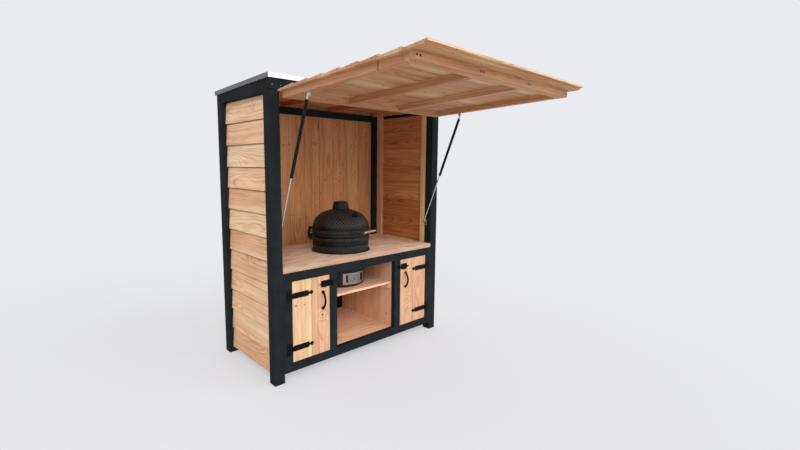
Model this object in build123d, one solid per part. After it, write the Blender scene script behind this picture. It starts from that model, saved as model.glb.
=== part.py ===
"""Timber outdoor kitchen with a lift-up awning flap and a built-in ceramic kamado grill.

Millimetres. X runs to the right, Y to the back (the kitchen opens towards -Y), Z up.
The origin is on the floor, at the centre of the four posts. The flap is drawn open.
"""
import os
from math import acos, atan, atan2, ceil, cos, degrees, radians, sin, sqrt

from build123d import *

os.makedirs("parts", exist_ok=True)

# Overall frame: square posts at the corners, rails and stiles planed from one timber section
WIDTH = 1840.0
DEPTH = 900.0
POST = 85.0
TIMBER = 45.0            # thickness of rails, stiles and bearers
RAIL = 72.0              # face width of rails, stiles and mullions
HX, HY = WIDTH / 2, DEPTH / 2
PX, PY = HX - POST, HY - POST      # inner faces of the posts

# Heights from the floor
PLINTH = 72.0            # clear height under the bottom rail
WALL_BOTTOM = 54.0       # lower edge of the side cladding
WORKTOP = 900.0
WORKTOP_T = 38.0
EAVE = 2278.0            # underside of the roof deck at the front face of the posts
FALL = 26.0              # roof fall over the depth, to the back
FASCIA_BOTTOM = EAVE - 75.0
SIDE_RAIL_BOTTOM = EAVE - 94.0
REAR_RAIL_TOP = EAVE - 68.0
REAR_RAIL_H = 60.0
REAR_STILE = 52.0        # dark stiles beside the rear posts

# Cabinet
BAY_HALF = 336.0         # half width of the open middle bay
PARTITION_SET = 4.0      # partitions stand this far behind the mullion's inner edge
DOOR_GAP = 3.0
BOARD_T = 20.0           # door boards
PANEL_T = 18.0           # partitions, floor and back boards
SHELF_T = 22.0
SHELF_SET = 19.0         # shelf front behind the front frame
SEAM = 1.0               # joint left between neighbouring boards

# Lapped weatherboard: thin upper edge, thick lower edge with a rabbet for the next board
WB_WIDTH = 195.0
WB_COVER = 180.0         # greatest height that one course may cover
WB_TOP_SHARE = 0.95      # height of a side wall's top board, as a share of a full course
WB_THIN = 11.0
WB_THICK = 24.0
WB_LIP = 12.0            # lip thickness left in front of the rabbet
LAP_CLEAR = 1.0
SIDE_RECESS = 31.0       # boards stand back from the outer post face
SIDE_CLEAR = 3.0         # top board under the side rail, battens off the posts' inner plane
BATTEN_W = 68.0

# Flap and its hinge line
OPEN_ANGLE = 2.2         # free edge rises this far above level when open
FLAP_INSET = 54.0        # boards stop this far inside the outer post faces
FLAP_CLEAR = 1.5         # between the boards and the posts when shut
FLAP_SIDE = 3.0          # between the flap frame and the posts when shut
FLAP_SHUT = 6.0          # between the free-end beam and the worktop when shut
FLAP_OVERHANG = 106.0    # boards past the free-end beam, covering the worktop edge
FLAP_BEAM = 70.0
FASCIA_T = 20.0
FASCIA_PROUD = 8.0
PIN_ABOVE_FRAME = 17.0   # hinge pin centre in front of the boards' back plane
PIN_TO_BOARD = 12.0      # hinge pin centre to the upper edge of the first board
HINGE_Z = FASCIA_BOTTOM + 1.0
HINGE_Y = -(HY + PIN_ABOVE_FRAME + FLAP_CLEAR)
FLAP_HALF = HX - FLAP_INSET
FLAP_FRAME_HALF = PX - FLAP_SIDE
FLAP_LENGTH = HINGE_Z - PIN_TO_BOARD - WORKTOP - FLAP_SHUT + FLAP_OVERHANG

# Gas struts, each in a plane beside a front post
STRUT_SIDE = 17.0        # strut centre inside the post's inner face
STRUT_FOOT_EDGE = 7.0    # strut foot in front of the post's back face
STRUT_FOOT_Z = 1114.0
STRUT_SEAT = 322.5       # from the hinge pin along the rafter
STRUT_DROP = 14.0        # strut pin below the rafter
BARREL_R, BARREL_WALL, ROD_R = 12.0, 2.0, 5.5
BARREL_LEN = 604.0
ROD_STAY = 90.0          # rod left inside the barrel at full extension
RUN = 0.4                # running clearance on pins and rods
FIT = 0.3                # fitting clearance of curved pieces
STRUT_X = PX - STRUT_SIDE

# Kamado, standing on the shelf and let into the worktop
KX, KY = -27.0, -98.0
K_TURN = 16.0            # lid, bands, grip and hinge are turned this far towards +X
K_GAUGE_TURN = 4.0
K_SINK = 316.0           # foot below the top of the worktop
K_BASE_H = 471.0         # foot to the lid joint
K_R = 262.0              # outer radius of the lid
K_STEP = 2.0             # lid stands proud of the base
K_TAPER = 45.0           # base narrows by this from shoulder to foot
K_WALL = 28.0
K_SKIRT = 40.0           # straight part of the lid under the dome
K_DOME = 180.0
K_SHOULDER = 155.0       # radius of the arc between skirt and crown
K_NECK_R = 66.0
K_VENT_H = 64.0
K_FELT = 5.0             # felt seal thickness at the joint
K_BAND_H, K_BAND_T = 27.0, 4.0
K_BAND_EDGE = 20.0       # ceramic rim left between a band and the joint
HOLE_CLEAR = 5.0         # worktop cut-out round the base
SHELF = WORKTOP - K_SINK
K_JOINT = SHELF + K_BASE_H

nodes = {}


def block(x0, x1, y0, y1, z0, z1):
    return Pos((x0 + x1) / 2, (y0 + y1) / 2, (z0 + z1) / 2) * Box(x1 - x0, y1 - y0, z1 - z0)


def prism(points, plane, length):
    return extrude(plane * make_face(Polyline(*points, close=True)), amount=length)


def rod(start, end, radius):
    along = Vector(*end) - Vector(*start)
    return Plane(origin=start, z_dir=along) * Cylinder(
        radius, along.length, align=(Align.CENTER, Align.CENTER, Align.MIN))


def both(solids):
    return list(solids) + [mirror(s, about=Plane.YZ) for s in solids]


def spun(*lines):
    """Solid of revolution about the grill's axis, from a closed (radius, height) outline."""
    return Pos(KX, KY, 0) * revolve(Plane.XZ * make_face(Curve() + list(lines)), Axis.Z)


def ring(r0, r1, z0, z1):
    return spun(Polyline((r0, z0), (r1, z0), (r1, z1), (r0, z1), close=True))


def keep(name, solids):
    parts = []
    for s in solids if isinstance(solids, (list, tuple)) else [solids]:
        parts += list(s.solids())
    nodes[name] = parts


def roof_z(y):
    return EAVE - FALL * (y + HY) / DEPTH


# Corner posts, cut to the roof fall and notched at the front for the fascia
notch = HY - (FASCIA_T - FASCIA_PROUD)
front_post = prism([(-HY, 0), (-PY, 0), (-PY, roof_z(-PY)), (-notch, roof_z(-notch)),
                    (-notch, FASCIA_BOTTOM), (-HY, FASCIA_BOTTOM)], Plane.YZ.offset(PX), POST)
rear_post = prism([(PY, 0), (HY, 0), (HY, roof_z(HY)), (PY, roof_z(PY))],
                  Plane.YZ.offset(PX), POST)
keep("corner_posts", both([front_post, rear_post]))

# Top of the frame: fascia over the post fronts, side rails, rear frame
fascia_face = -(HY + FASCIA_PROUD)
keep("front_fascia", prism(
    [(fascia_face, FASCIA_BOTTOM), (-notch, FASCIA_BOTTOM), (-notch, roof_z(-notch)),
     (fascia_face, roof_z(fascia_face))], Plane.YZ.offset(-HX), WIDTH))
side_rail = prism([(-PY, SIDE_RAIL_BOTTOM), (PY, SIDE_RAIL_BOTTOM), (PY, roof_z(PY)),
                   (-PY, roof_z(-PY))], Plane.YZ.offset(HX - TIMBER), TIMBER)
keep("side_top_rails", both([side_rail]))
rear_back = PY + TIMBER
bay_post = BAY_HALF + PARTITION_SET
rail_top = PLINTH + RAIL           # top of the bottom rail and of the floor
under = WORKTOP - WORKTOP_T
keep("rear_frame", [
    block(-PX, PX, PY, rear_back, REAR_RAIL_TOP - REAR_RAIL_H, REAR_RAIL_TOP),
    block(-(PX - REAR_STILE), PX - REAR_STILE, PY, rear_back, PLINTH, rail_top)] + both([
        block(PX - REAR_STILE, PX, PY, rear_back, PLINTH, REAR_RAIL_TOP - REAR_RAIL_H),
        block(bay_post - TIMBER, bay_post, PY, rear_back, rail_top, under)]))

# Back wall: upright boards between the rear posts, fixed to the rear frame
back_pitch = 173.5
back_whole = int(2 * PX // back_pitch)
edges = [-PX] + [back_pitch * (i - back_whole / 2) for i in range(back_whole + 1)] + [PX]
keep("back_boards", [block(a + SEAM / 2, b - SEAM / 2, rear_back, rear_back + PANEL_T, PLINTH,
                           roof_z(rear_back + PANEL_T) - SEAM) for a, b in zip(edges, edges[1:])])


def weatherboard(pitch, height=WB_WIDTH):
    """Section of one board, cut off at height: X outwards from its back, Y up from its lower edge."""
    lap = WB_WIDTH - pitch + LAP_CLEAR
    top = WB_THICK - (WB_THICK - WB_THIN) * height / WB_WIDTH
    return make_face(Polyline((0, lap), (0, height), (top, height), (WB_THICK, 0),
                              (WB_LIP, 0), (WB_LIP, lap), close=True))


# Side walls: equal courses of weatherboard, the top one cut under the side rail, nailed to battens that
# stand beside the posts
wall_back = HX - SIDE_RECESS - WB_THICK
wall_h = SIDE_RAIL_BOTTOM - SIDE_CLEAR - WALL_BOTTOM
side_n = ceil(wall_h / WB_COVER + 1 - WB_TOP_SHARE)
side_pitch = wall_h / (side_n - 1 + WB_TOP_SHARE)
side_boards = []
for i in range(side_n):
    start = Plane(origin=(wall_back, PY - SEAM, WALL_BOTTOM + i * side_pitch),
                  x_dir=(1, 0, 0), z_dir=(0, -1, 0))
    board = weatherboard(side_pitch, min(WB_WIDTH, wall_h - i * side_pitch))
    side_boards.append(start * extrude(board, amount=2 * (PY - SEAM)))
keep("right_cladding", side_boards)
keep("left_cladding", [mirror(s, about=Plane.YZ) for s in side_boards])
keep("side_battens", both([
    block(PX + SIDE_CLEAR, wall_back, y, y + BATTEN_W, PLINTH, roof_z(y + BATTEN_W) - SEAM)
    for y in (-PY, PY - BATTEN_W)]))

# Roof: flap header and joists, boarded deck, rubber sheet, metal edge trim
header_back = -notch + TIMBER
header = prism([(-notch, FASCIA_BOTTOM), (header_back, FASCIA_BOTTOM),
                (header_back, roof_z(header_back)), (-notch, roof_z(-notch))],
               Plane.YZ.offset(-PX), 2 * PX)
EDGE_JOIST = PX - TIMBER / 2         # joists beside the side rails
JOIST_X = (-EDGE_JOIST, -308.0, 225.0, EDGE_JOIST)
keep("roof_frame", [header] + [prism(
    [(header_back, REAR_RAIL_TOP), (rear_back, REAR_RAIL_TOP), (rear_back, roof_z(rear_back)),
     (header_back, roof_z(header_back))], Plane.YZ.offset(x - TIMBER / 2), TIMBER) for x in JOIST_X])
deck_t, sheet_t, trim_t = 18.0, 1.5, 2.0
tilt = degrees(atan(FALL / DEPTH))
roof = Plane(origin=(0, 0, roof_z(0)), x_dir=(1, 0, 0),
             z_dir=(0, sin(radians(tilt)), cos(radians(tilt))))
deck_x, deck_y = HX, HY + FASCIA_PROUD
deck_n = 6
deck_step = 2 * deck_y / deck_n
keep("roof_deck", [roof * block(-deck_x, deck_x, -deck_y + i * deck_step + SEAM / 2,
                                -deck_y + (i + 1) * deck_step - SEAM / 2, 0, deck_t)
                   for i in range(deck_n)])
sheet_top = deck_t + sheet_t
keep("roof_sheet", roof * block(-deck_x, deck_x, -deck_y, deck_y, deck_t, sheet_top))
trim_out, trim_low, trim_rise, trim_flange = 10.0, 18.0, 16.0, 45.0
trim_wall = 2 * trim_t


def trim(length, reach):
    """Edge trim: a face hanging over the deck edge, a rolled top and a flange on the sheet."""
    roll = trim_rise - trim_wall
    outline = make_face(Polyline(
        (reach, sheet_top - trim_low), (reach, sheet_top + trim_rise),
        (reach - trim_rise, sheet_top + trim_rise), (reach - trim_rise - roll, sheet_top + trim_t),
        (reach - trim_flange, sheet_top + trim_t), (reach - trim_flange, sheet_top),
        (reach - trim_rise - roll + 2, sheet_top), (reach - trim_rise + 1, sheet_top + roll),
        (reach - trim_wall, sheet_top + roll), (reach - trim_wall, sheet_top - trim_low),
        close=True))
    bar = extrude(Plane.XZ.offset(-length) * outline, amount=2 * length)
    long = 2 * length
    for end in (1, -1):      # mitre both ends
        cut = Plane.XY.offset(-100) * make_face(Polyline(
            (reach + 1, end * (length + 1)), (reach - long, end * (length + 1)),
            (reach - long, end * (length - long)), close=True))
        bar -= extrude(cut, amount=300)
    return bar


trim_x, trim_y = deck_x + trim_out, deck_y + trim_out - 2.0
side_trim = trim(trim_y, trim_x)
end_trim = Rot(0, 0, -90) * trim(trim_x, trim_y)
keep("roof_trim", [roof * t for t in (side_trim, mirror(side_trim, about=Plane.YZ), end_trim,
                                      mirror(end_trim, about=Plane.XZ))])

# Cabinet front frame
face, behind = -HY, -HY + TIMBER
door_top = under - RAIL
stile_in, mullion_out = PX - RAIL, BAY_HALF + RAIL
keep("front_frame", [block(-PX, PX, face, behind, PLINTH, rail_top),
                     block(-PX, PX, face, behind, door_top, under)] + both([
                         block(stile_in, PX, face, behind, rail_top, door_top),
                         block(BAY_HALF, mullion_out, face, behind, rail_top, door_top)]))

# Floor on bearers, bay partitions and the grill shelf
floor_n, part_n, shelf_n = 5, 5, 5
floor_step = (PY - behind) / floor_n
keep("cabinet_floor", [
    block(x - TIMBER / 2, x + TIMBER / 2, behind, PY, rail_top - PANEL_T - TIMBER, rail_top - PANEL_T)
    for x in (-PX + TIMBER / 2, -bay_post, 0, bay_post, PX - TIMBER / 2)] + [
    block(-PX, PX, behind + i * floor_step, behind + (i + 1) * floor_step - SEAM,
          rail_top - PANEL_T, rail_top) for i in range(floor_n)])
part_step = (PY - behind) / part_n
keep("bay_partitions", both([
    block(bay_post, bay_post + PANEL_T, behind + i * part_step,
          behind + (i + 1) * part_step - (SEAM if i < part_n - 1 else 0), rail_top, door_top)
    for i in range(part_n)]))
shelf_front = behind + SHELF_SET
shelf_step = (PY - shelf_front) / shelf_n
shelf_under = SHELF - SHELF_T
keep("grill_shelf", [block(-bay_post, bay_post, shelf_front + i * shelf_step,
                           shelf_front + (i + 1) * shelf_step - SEAM, shelf_under, SHELF)
                     for i in range(shelf_n)] + both([
                         block(bay_post - SHELF_T, bay_post, shelf_front, PY - TIMBER,
                               shelf_under - TIMBER, shelf_under)]))

# Kamado shell: foot, straight waist, belly turned in short conical courses to one arc, straight rim
base_r = K_R - K_STEP
waist_r = base_r - K_TAPER
waist_up, shoulder_up, floor_up, foot_bevel = 148.0, 426.0, 40.0, 19.0
waist_z, shoulder_z, base_floor = SHELF + waist_up, SHELF + shoulder_up, SHELF + floor_up
belly_r = (K_TAPER ** 2 + (shoulder_z - waist_z) ** 2) / (2 * K_TAPER)


def belly(z):
    return base_r - belly_r + sqrt(belly_r ** 2 - (shoulder_z - z) ** 2)


inner_r = base_r - K_WALL
courses = 6
heights = [waist_z + (shoulder_z - waist_z) * i / courses for i in range(courses + 1)]
kamado_base = spun(Polyline(
    (0, SHELF), (waist_r - foot_bevel, SHELF), (waist_r, SHELF + foot_bevel),
    *[(belly(z), z) for z in heights], (base_r, K_JOINT), (inner_r, K_JOINT),
    *[(belly(z) - K_WALL, z) for z in reversed(heights)],
    (waist_r - K_WALL - foot_bevel, base_floor), (0, base_floor), close=True))
groove_z, groove_h, groove_t = K_JOINT - 88.0, 6.0, 2.0
kamado_base -= ring(belly(groove_z) - groove_t, K_R, groove_z, groove_z + groove_h)
draft_z = (SHELF + 48.0, SHELF + 116.0)
draft_half = 84.0
draft_hole = block(KX - draft_half, KX + draft_half, KY - K_R, KY - waist_r / 2, *draft_z)
keep("kamado_base", kamado_base - draft_hole)

# Worktop planks on bearers, with the round cut-out for the grill and a flared ring over its edge
ledge = PY - TIMBER
keep("worktop_bearers", [block(-PX, PX, ledge, PY, door_top, under)] + both(
    [block(bay_post, bay_post + TIMBER, behind, ledge, door_top, under),
     block(PX - TIMBER, PX, behind, ledge, door_top, under)]))
hole_r = belly(WORKTOP) + HOLE_CLEAR
top_n, nosing = 6, 4.0
top_step = (PY + HY) / top_n
cut_out = Pos(KX, KY, WORKTOP) * Cylinder(hole_r, 4 * WORKTOP_T)
planks = []
for i in range(top_n):
    y0, y1 = face + i * top_step, face + (i + 1) * top_step - SEAM
    clear_of_battens = y0 > -PY + BATTEN_W and y1 < PY - BATTEN_W
    half = wall_back - SEAM if clear_of_battens else PX - SEAM
    plank = block(-half, half, y0, y1, under, WORKTOP)
    if i == 0:               # round the front arris
        plank = fillet(plank.edges().filter_by(Axis.X).group_by(Axis.Y)[0].group_by(Axis.Z)[-1], nosing)
    planks.append(plank - cut_out)
keep("worktop_planks", planks)
ring_h, ring_cover = 9.0, 14.0
ring_in = belly(WORKTOP + ring_h) + FIT
keep("kamado_trim_ring", spun(Polyline(
    (ring_in, WORKTOP), (hole_r + ring_cover, WORKTOP), (hole_r + ring_cover - 2, WORKTOP + ring_h / 2),
    (ring_in + 4, WORKTOP + ring_h), (ring_in, WORKTOP + ring_h), close=True)))


def tee_plate(plate_w, plate_h, thick, mount, knuckle, pin, span):
    """Fixed leaf of a tee hinge. Local X along the strap, Y along the pin, Z outwards."""
    leaf = block(-plate_w, -knuckle, -plate_h / 2, plate_h / 2, -mount, -mount + thick)
    for side in (1, -1):
        y = side * (span / 2 - span / 6)
        lug = Pos(0, y, 0) * Rot(90, 0, 0) * Cylinder(knuckle, span / 3)
        leaf += lug + block(-knuckle - 1, 0, y - span / 6, y + span / 6, -mount, -mount + thick)
        if mount > knuckle + thick:
            leaf += block(-knuckle, 0, y - span / 6, y + span / 6, -mount, 0)
    return leaf - Rot(90, 0, 0) * Cylinder(pin + RUN, 2 * span)


def tee_strap(length, root, tip, thick, mount, knuckle, pin, span, lean=0.0):
    """Moving leaf: tapered strap with a waist and a round end, rolled round the pin."""
    ball = tip * 0.62
    outline = make_face(Polyline(
        (0, -root / 2), (length - 2.9 * ball, -tip / 2), (length - 2.2 * ball, -tip * 0.2),
        (length - ball, -tip * 0.2), (length - ball, tip * 0.2), (length - 2.2 * ball, tip * 0.2),
        (length - 2.9 * ball, tip / 2), (0, root / 2), close=True))
    strap = extrude(outline, amount=thick) + Pos(length - ball, 0, thick / 2) * Cylinder(ball, thick)
    strap = Pos(0, 0, -mount) * strap
    clear = 2 * RUN
    keepout = block(-3 * knuckle, knuckle + clear, span / 6 - RUN, span, -3 * knuckle, knuckle * 2)
    strap = strap - keepout - mirror(keepout, about=Plane.XZ)
    lug = Rot(90, 0, 0) * Cylinder(knuckle, span / 3 - clear)
    strap += lug + block(0, knuckle + 2, -span / 6 + RUN, span / 6 - RUN, -mount, -mount + thick)
    strap = strap - Rot(90, 0, 0) * Cylinder(pin + RUN, 2 * span)
    return Rot(0, -lean, 0) * strap


def screw_head(radius=4.0, height=1.6):
    return Cylinder(radius, height, align=(Align.CENTER, Align.CENTER, Align.MIN)) - (
        Pos(0, 0, height) * Box(radius * 1.2, 1.2, 1.2))


# Door ironwork sizes: tee hinges, bow pull and slide bolt
hinge_t, hinge_mount, hinge_r, hinge_pin = 3.0, 6.0, 5.5, 3.0
plate_w, plate_h, hinge_span = 52.0, 95.0, 36.0
strap_len, strap_root, strap_tip = 187.0, 34.0, 22.0
door_in, door_out = mullion_out + DOOR_GAP, stile_in - DOOR_GAP
door_z0, door_z1 = rail_top + DOOR_GAP, door_top - DOOR_GAP
pin_x, pin_y = stile_in - DOOR_GAP / 2, face - hinge_mount
hinge_low, hinge_high = 108.0, 111.0
hinge_zs = (door_z0 + hinge_low, door_z1 - hinge_high)
bolt_r, bolt_len, bolt_travel, bolt_drop, bolt_out = 5.0, 99.0, 24.0, 65.0, 10.0
bolt_z, bolt_y = door_z1 - bolt_drop, face - bolt_out


def left_hinge(z):
    return Plane(origin=(-pin_x, pin_y, z), x_dir=(1, 0, 0), z_dir=(0, -1, 0))


plates, pins, straps, strap_screws = [], [], [], []
for z in hinge_zs:
    at = left_hinge(z)
    plates.append(at * tee_plate(plate_w, plate_h, hinge_t, hinge_mount, hinge_r, hinge_pin,
                                 hinge_span))
    pins.append(at * (Rot(90, 0, 0) * Cylinder(hinge_pin, hinge_span + 4)))
    straps.append(at * tee_strap(strap_len, strap_root, strap_tip, hinge_t, hinge_mount, hinge_r,
                                 hinge_pin, hinge_span))
    for share in (0.16, 0.45, 0.72):
        strap_screws.append(at * (Pos(strap_len * share, 0, hinge_t - hinge_mount) * screw_head()))
    for end in (-0.4, 0.4):
        plates.append(at * (Pos(-plate_w * 0.55, plate_h * end, hinge_t - hinge_mount) * screw_head()))
keep("door_hinge_plates", both(plates + pins))

# Ledged doors: two upright boards with eased edges on two ledges
mid, ease, ledge_in, ledge_half = (door_in + door_out) / 2, 2.0, 25.0, 35.0
left_boards = []
for x0, x1 in ((-door_out, -mid - SEAM / 2), (-mid + SEAM / 2, -door_in)):
    board = block(x0, x1, face, face + BOARD_T, door_z0, door_z1)
    left_boards.append(chamfer(board.edges().filter_by(Axis.Z).group_by(Axis.Y)[0], ease))
left_ledges = [block(-door_out + ledge_in, -door_in - ledge_in, face + BOARD_T,
                     face + BOARD_T + PANEL_T, z - ledge_half, z + ledge_half) for z in hinge_zs]

# Bow pull, swept along an arc, on two small roses
pull_h, pull_out, pull_inset, pull_drop = 134.0, 36.0, 67.0, 199.0
pull_x, pull_z = -door_in - pull_inset, door_z1 - pull_drop
bow = ThreePointArc((pull_x, face - 3, pull_z - pull_h / 2), (pull_x, face - pull_out, pull_z),
                    (pull_x, face - 3, pull_z + pull_h / 2))
left_pull = sweep(Plane(origin=bow @ 0, z_dir=bow % 0) * Circle(5.0), path=bow)
for end in (-1, 1):
    left_pull += rod((pull_x, face, pull_z + end * pull_h / 2),
                     (pull_x, face - 5, pull_z + end * pull_h / 2), 11.0)

# Slide bolt: plate with two guides on the door, bolt with a drop knob, keep on the mullion
bolt_plate_t, guide_w, guide_h = 3.0, 11.0, 10.0
bolt_plate_x = (-door_in - 84.0, -door_in - 4.0)
left_bolt_plate = block(*bolt_plate_x, face - bolt_plate_t, face, bolt_z - 19, bolt_z + 19)
guide_x = (bolt_plate_x[0] + 10, bolt_plate_x[1] - 16)
for x in guide_x:
    left_bolt_plate += block(x, x + guide_w, bolt_y - bolt_r - 4, face - bolt_plate_t,
                             bolt_z - guide_h, bolt_z + guide_h)
bolt_bore = rod((-HX, bolt_y, bolt_z), (0, bolt_y, bolt_z), bolt_r + RUN)
left_bolt_plate -= bolt_bore
tip_x = -door_in - 2.0
knob_x, knob_drop = guide_x[1] - bolt_travel - 7.0, 26.0
left_bolt = rod((tip_x - bolt_len, bolt_y, bolt_z), (tip_x, bolt_y, bolt_z), bolt_r)
left_bolt += rod((knob_x, bolt_y, bolt_z), (knob_x, bolt_y, bolt_z - knob_drop), 3.2)
left_bolt += Pos(knob_x, bolt_y, bolt_z - knob_drop) * Sphere(5.5)
keep_w, keep_set, staple_in, staple_w = 24.0, 6.0, 3.0, 14.0
keep_x = -mullion_out + keep_set
left_keep = block(keep_x, keep_x + keep_w, face - bolt_plate_t, face, bolt_z - keep_w, bolt_z + keep_w)
staple_x = keep_x + staple_in
left_keep += block(staple_x, staple_x + staple_w, bolt_y - bolt_r - 4, face - bolt_plate_t,
                   bolt_z - guide_h, bolt_z + guide_h)
left_keep -= bolt_bore
keep("bolt_keeps", both([left_keep]))
for side in ("left", "right"):
    def hand(solids):
        return solids if side == "left" else [mirror(s, about=Plane.YZ) for s in solids]
    keep(side + "_door", hand(left_boards + left_ledges))
    keep(side + "_door_straps", hand(straps + strap_screws))
    keep(side + "_door_pull", hand([left_pull]))
    keep(side + "_bolt_plate", hand([left_bolt_plate]))
    keep(side + "_bolt", hand([left_bolt]))

# Flap, drawn about its hinge pin: local Y back towards the hinge, local Z outwards
flap = Plane(origin=(0, HINGE_Y, HINGE_Z), x_dir=(1, 0, 0),
             z_dir=(0, sin(radians(OPEN_ANGLE)), cos(radians(OPEN_ANGLE))))
board_back = -PIN_ABOVE_FRAME
frame_in = board_back - TIMBER
free_end = -(PIN_TO_BOARD + FLAP_LENGTH)
flap_n = ceil((FLAP_LENGTH - WB_WIDTH) / WB_COVER) + 1
flap_pitch = (FLAP_LENGTH - WB_WIDTH) / (flap_n - 1)
flap_boards = []
for i in range(flap_n):
    low = -PIN_TO_BOARD - WB_WIDTH - i * flap_pitch
    start = Plane(origin=(FLAP_HALF, low, board_back), x_dir=(0, 0, 1), z_dir=(-1, 0, 0))
    flap_boards.append(flap * (start * extrude(weatherboard(flap_pitch), amount=2 * FLAP_HALF)))
keep("flap_boards", flap_boards)

# Flap frame: two cross beams and four evenly spaced rafters, screwed through the free-end beam
beam_in = -(PIN_TO_BOARD + 10.0)
free_beam = (free_end + FLAP_OVERHANG, free_end + FLAP_OVERHANG + FLAP_BEAM)
rafter_y = (free_beam[1], beam_in - FLAP_BEAM)
rafter_out = FLAP_FRAME_HALF - TIMBER / 2
rafter_x = [rafter_out * i / 3 for i in (-3, -1, 1, 3)]
rafters = [block(x - TIMBER / 2, x + TIMBER / 2, rafter_y[0], rafter_y[1], frame_in, board_back)
           for x in rafter_x]
hinge_beam = block(-FLAP_FRAME_HALF, FLAP_FRAME_HALF, beam_in - FLAP_BEAM, beam_in,
                   frame_in, board_back)
end_beam = block(-FLAP_FRAME_HALF, FLAP_FRAME_HALF, *free_beam, frame_in, board_back)
beam_mid = (frame_in + board_back) / 2
screw_off, bore_r, bore_deep, head_h = 12.5, 5.0, 22.0, 5.0
flap_screws = []
for x in rafter_x:
    for dx in (-screw_off, screw_off):
        bottom = (x + dx, free_beam[0] + bore_deep, beam_mid)
        end_beam -= rod((x + dx, free_beam[0] - 1, beam_mid), bottom, bore_r)
        flap_screws.append(rod((x + dx, free_beam[0] + bore_deep - head_h, beam_mid), bottom,
                               bore_r - FIT))
keep("flap_frame", [flap * t for t in [hinge_beam, end_beam] + rafters])
keep("flap_screws", [flap * s for s in flap_screws])

# Flap tee hinges: plate on the fascia, strap on the first board
fh_t, fh_r, fh_pin, fh_span = 4.0, 6.0, 3.5, 60.0
fh_plate_w, fh_plate_h, fh_strap, fh_root, fh_tip = 58.0, 110.0, 180.0, 46.0, 30.0
fh_inset = 306.0
fh_out = FLAP_HALF - fh_inset
fh_mount = fascia_face - HINGE_Y
board_lean = degrees(atan((WB_THICK - WB_THIN) / WB_WIDTH))
surface = PIN_ABOVE_FRAME - WB_THIN + PIN_TO_BOARD * (WB_THICK - WB_THIN) / WB_WIDTH
fh_plates, fh_pins, fh_straps = [], [], []
for x in (-fh_out, 0.0, fh_out):
    fixed = Plane(origin=(x, HINGE_Y, HINGE_Z), x_dir=(0, 0, -1), z_dir=(0, -1, 0))
    fh_plates.append(fixed * tee_plate(fh_plate_w, fh_plate_h, fh_t, fh_mount, fh_r, fh_pin, fh_span))
    fh_pins.append(fixed * (Rot(90, 0, 0) * Cylinder(fh_pin, fh_span + 4)))
    moving = Plane(origin=(x, 0, 0), x_dir=(0, -1, 0), z_dir=(0, 0, 1))
    fh_straps.append(flap * (moving * tee_strap(
        fh_strap, fh_root, fh_tip, fh_t, surface * cos(radians(board_lean)), fh_r, fh_pin, fh_span,
        board_lean)))
keep("flap_hinge_plates", fh_plates + fh_pins)
keep("flap_hinge_straps", fh_straps)
screw_up, screw_inset, screw_next, screw_last = 31.0, 25.0, 94.0, 142.0
keep("fascia_screws", both([
    Plane(origin=(HX - inset, fascia_face, FASCIA_BOTTOM + screw_up), z_dir=(0, -1, 0)) * screw_head()
    for inset in (screw_inset, screw_next, screw_last)]))

# Gas struts: barrel hung from a bracket under the outer rafter, rod to a stud on the post
seat_y, seat_z = -STRUT_SEAT, frame_in - STRUT_DROP
eye_t, eye_r, stud_r, plate_t = 8.0, 9.0, 4.0, 3.0
seat_half, foot_half = 29.0, 32.0
lug_x = STRUT_X - 18.0
seat = block(FLAP_FRAME_HALF - TIMBER + 3, FLAP_FRAME_HALF - 2, seat_y - seat_half, seat_y + seat_half,
             frame_in - plate_t, frame_in)
seat += block(lug_x, lug_x + plate_t, seat_y - 12, seat_y + 12, seat_z - 10, frame_in)
seat += rod((lug_x, seat_y, seat_z), (STRUT_X + 6, seat_y, seat_z), stud_r)
keep("strut_seats", both([flap * seat]))
foot_y = -PY - STRUT_FOOT_EDGE
top = flap.from_local_coords(Vector(STRUT_X, seat_y, seat_z))
foot = Vector(STRUT_X, foot_y, STRUT_FOOT_Z)
strut_len = (foot - top).length
strut = Plane(origin=top, x_dir=(1, 0, 0), z_dir=foot - top)     # local Z down the strut


def along(z0, z1, radius):
    return Pos(0, 0, z0) * Cylinder(radius, z1 - z0, align=(Align.CENTER, Align.CENTER, Align.MIN))


neck_r, head, cap = 6.5, 38.0, 12.0
bore = BARREL_R - BARREL_WALL
eye = Rot(0, 90, 0) * Cylinder(eye_r, eye_t)
barrel = along(head, BARREL_LEN, BARREL_R) - along(head + 10, BARREL_LEN - cap, bore)
barrel -= along(BARREL_LEN - cap - 8, BARREL_LEN + 5, ROD_R + RUN)
top_eye = eye + along(6, head, neck_r) - Rot(0, 90, 0) * Cylinder(stud_r + RUN, 30)
piston_z = BARREL_LEN - ROD_STAY
rod_solid = along(piston_z, strut_len - head, ROD_R) + along(piston_z, piston_z + 14, bore - RUN)
rod_solid += Pos(0, 0, strut_len) * eye + along(strut_len - head, strut_len - 6, neck_r)
for side, flip in (("left", True), ("right", False)):
    for name, solids in (("barrel", [barrel, top_eye]), ("rod", [rod_solid])):
        placed = [strut * s for s in solids]
        keep(side + "_strut_" + name, [mirror(s, about=Plane.YZ) for s in placed] if flip else placed)
stud_end = STRUT_X + eye_t / 2 + 0.6
foot_plate = block(PX - plate_t, PX, foot_y - 22, foot_y + STRUT_FOOT_EDGE - 1,
                   STRUT_FOOT_Z - foot_half, STRUT_FOOT_Z + foot_half)
foot_plate += rod((PX - plate_t, foot_y, STRUT_FOOT_Z), (stud_end, foot_y, STRUT_FOOT_Z), stud_r + 1)
keep("strut_post_brackets", both([foot_plate]))


def kam(solid, turn=K_TURN):
    """Placed on the grill axis and turned with the lid."""
    return Pos(KX, KY, 0) * Rot(0, 0, turn) * solid


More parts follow.
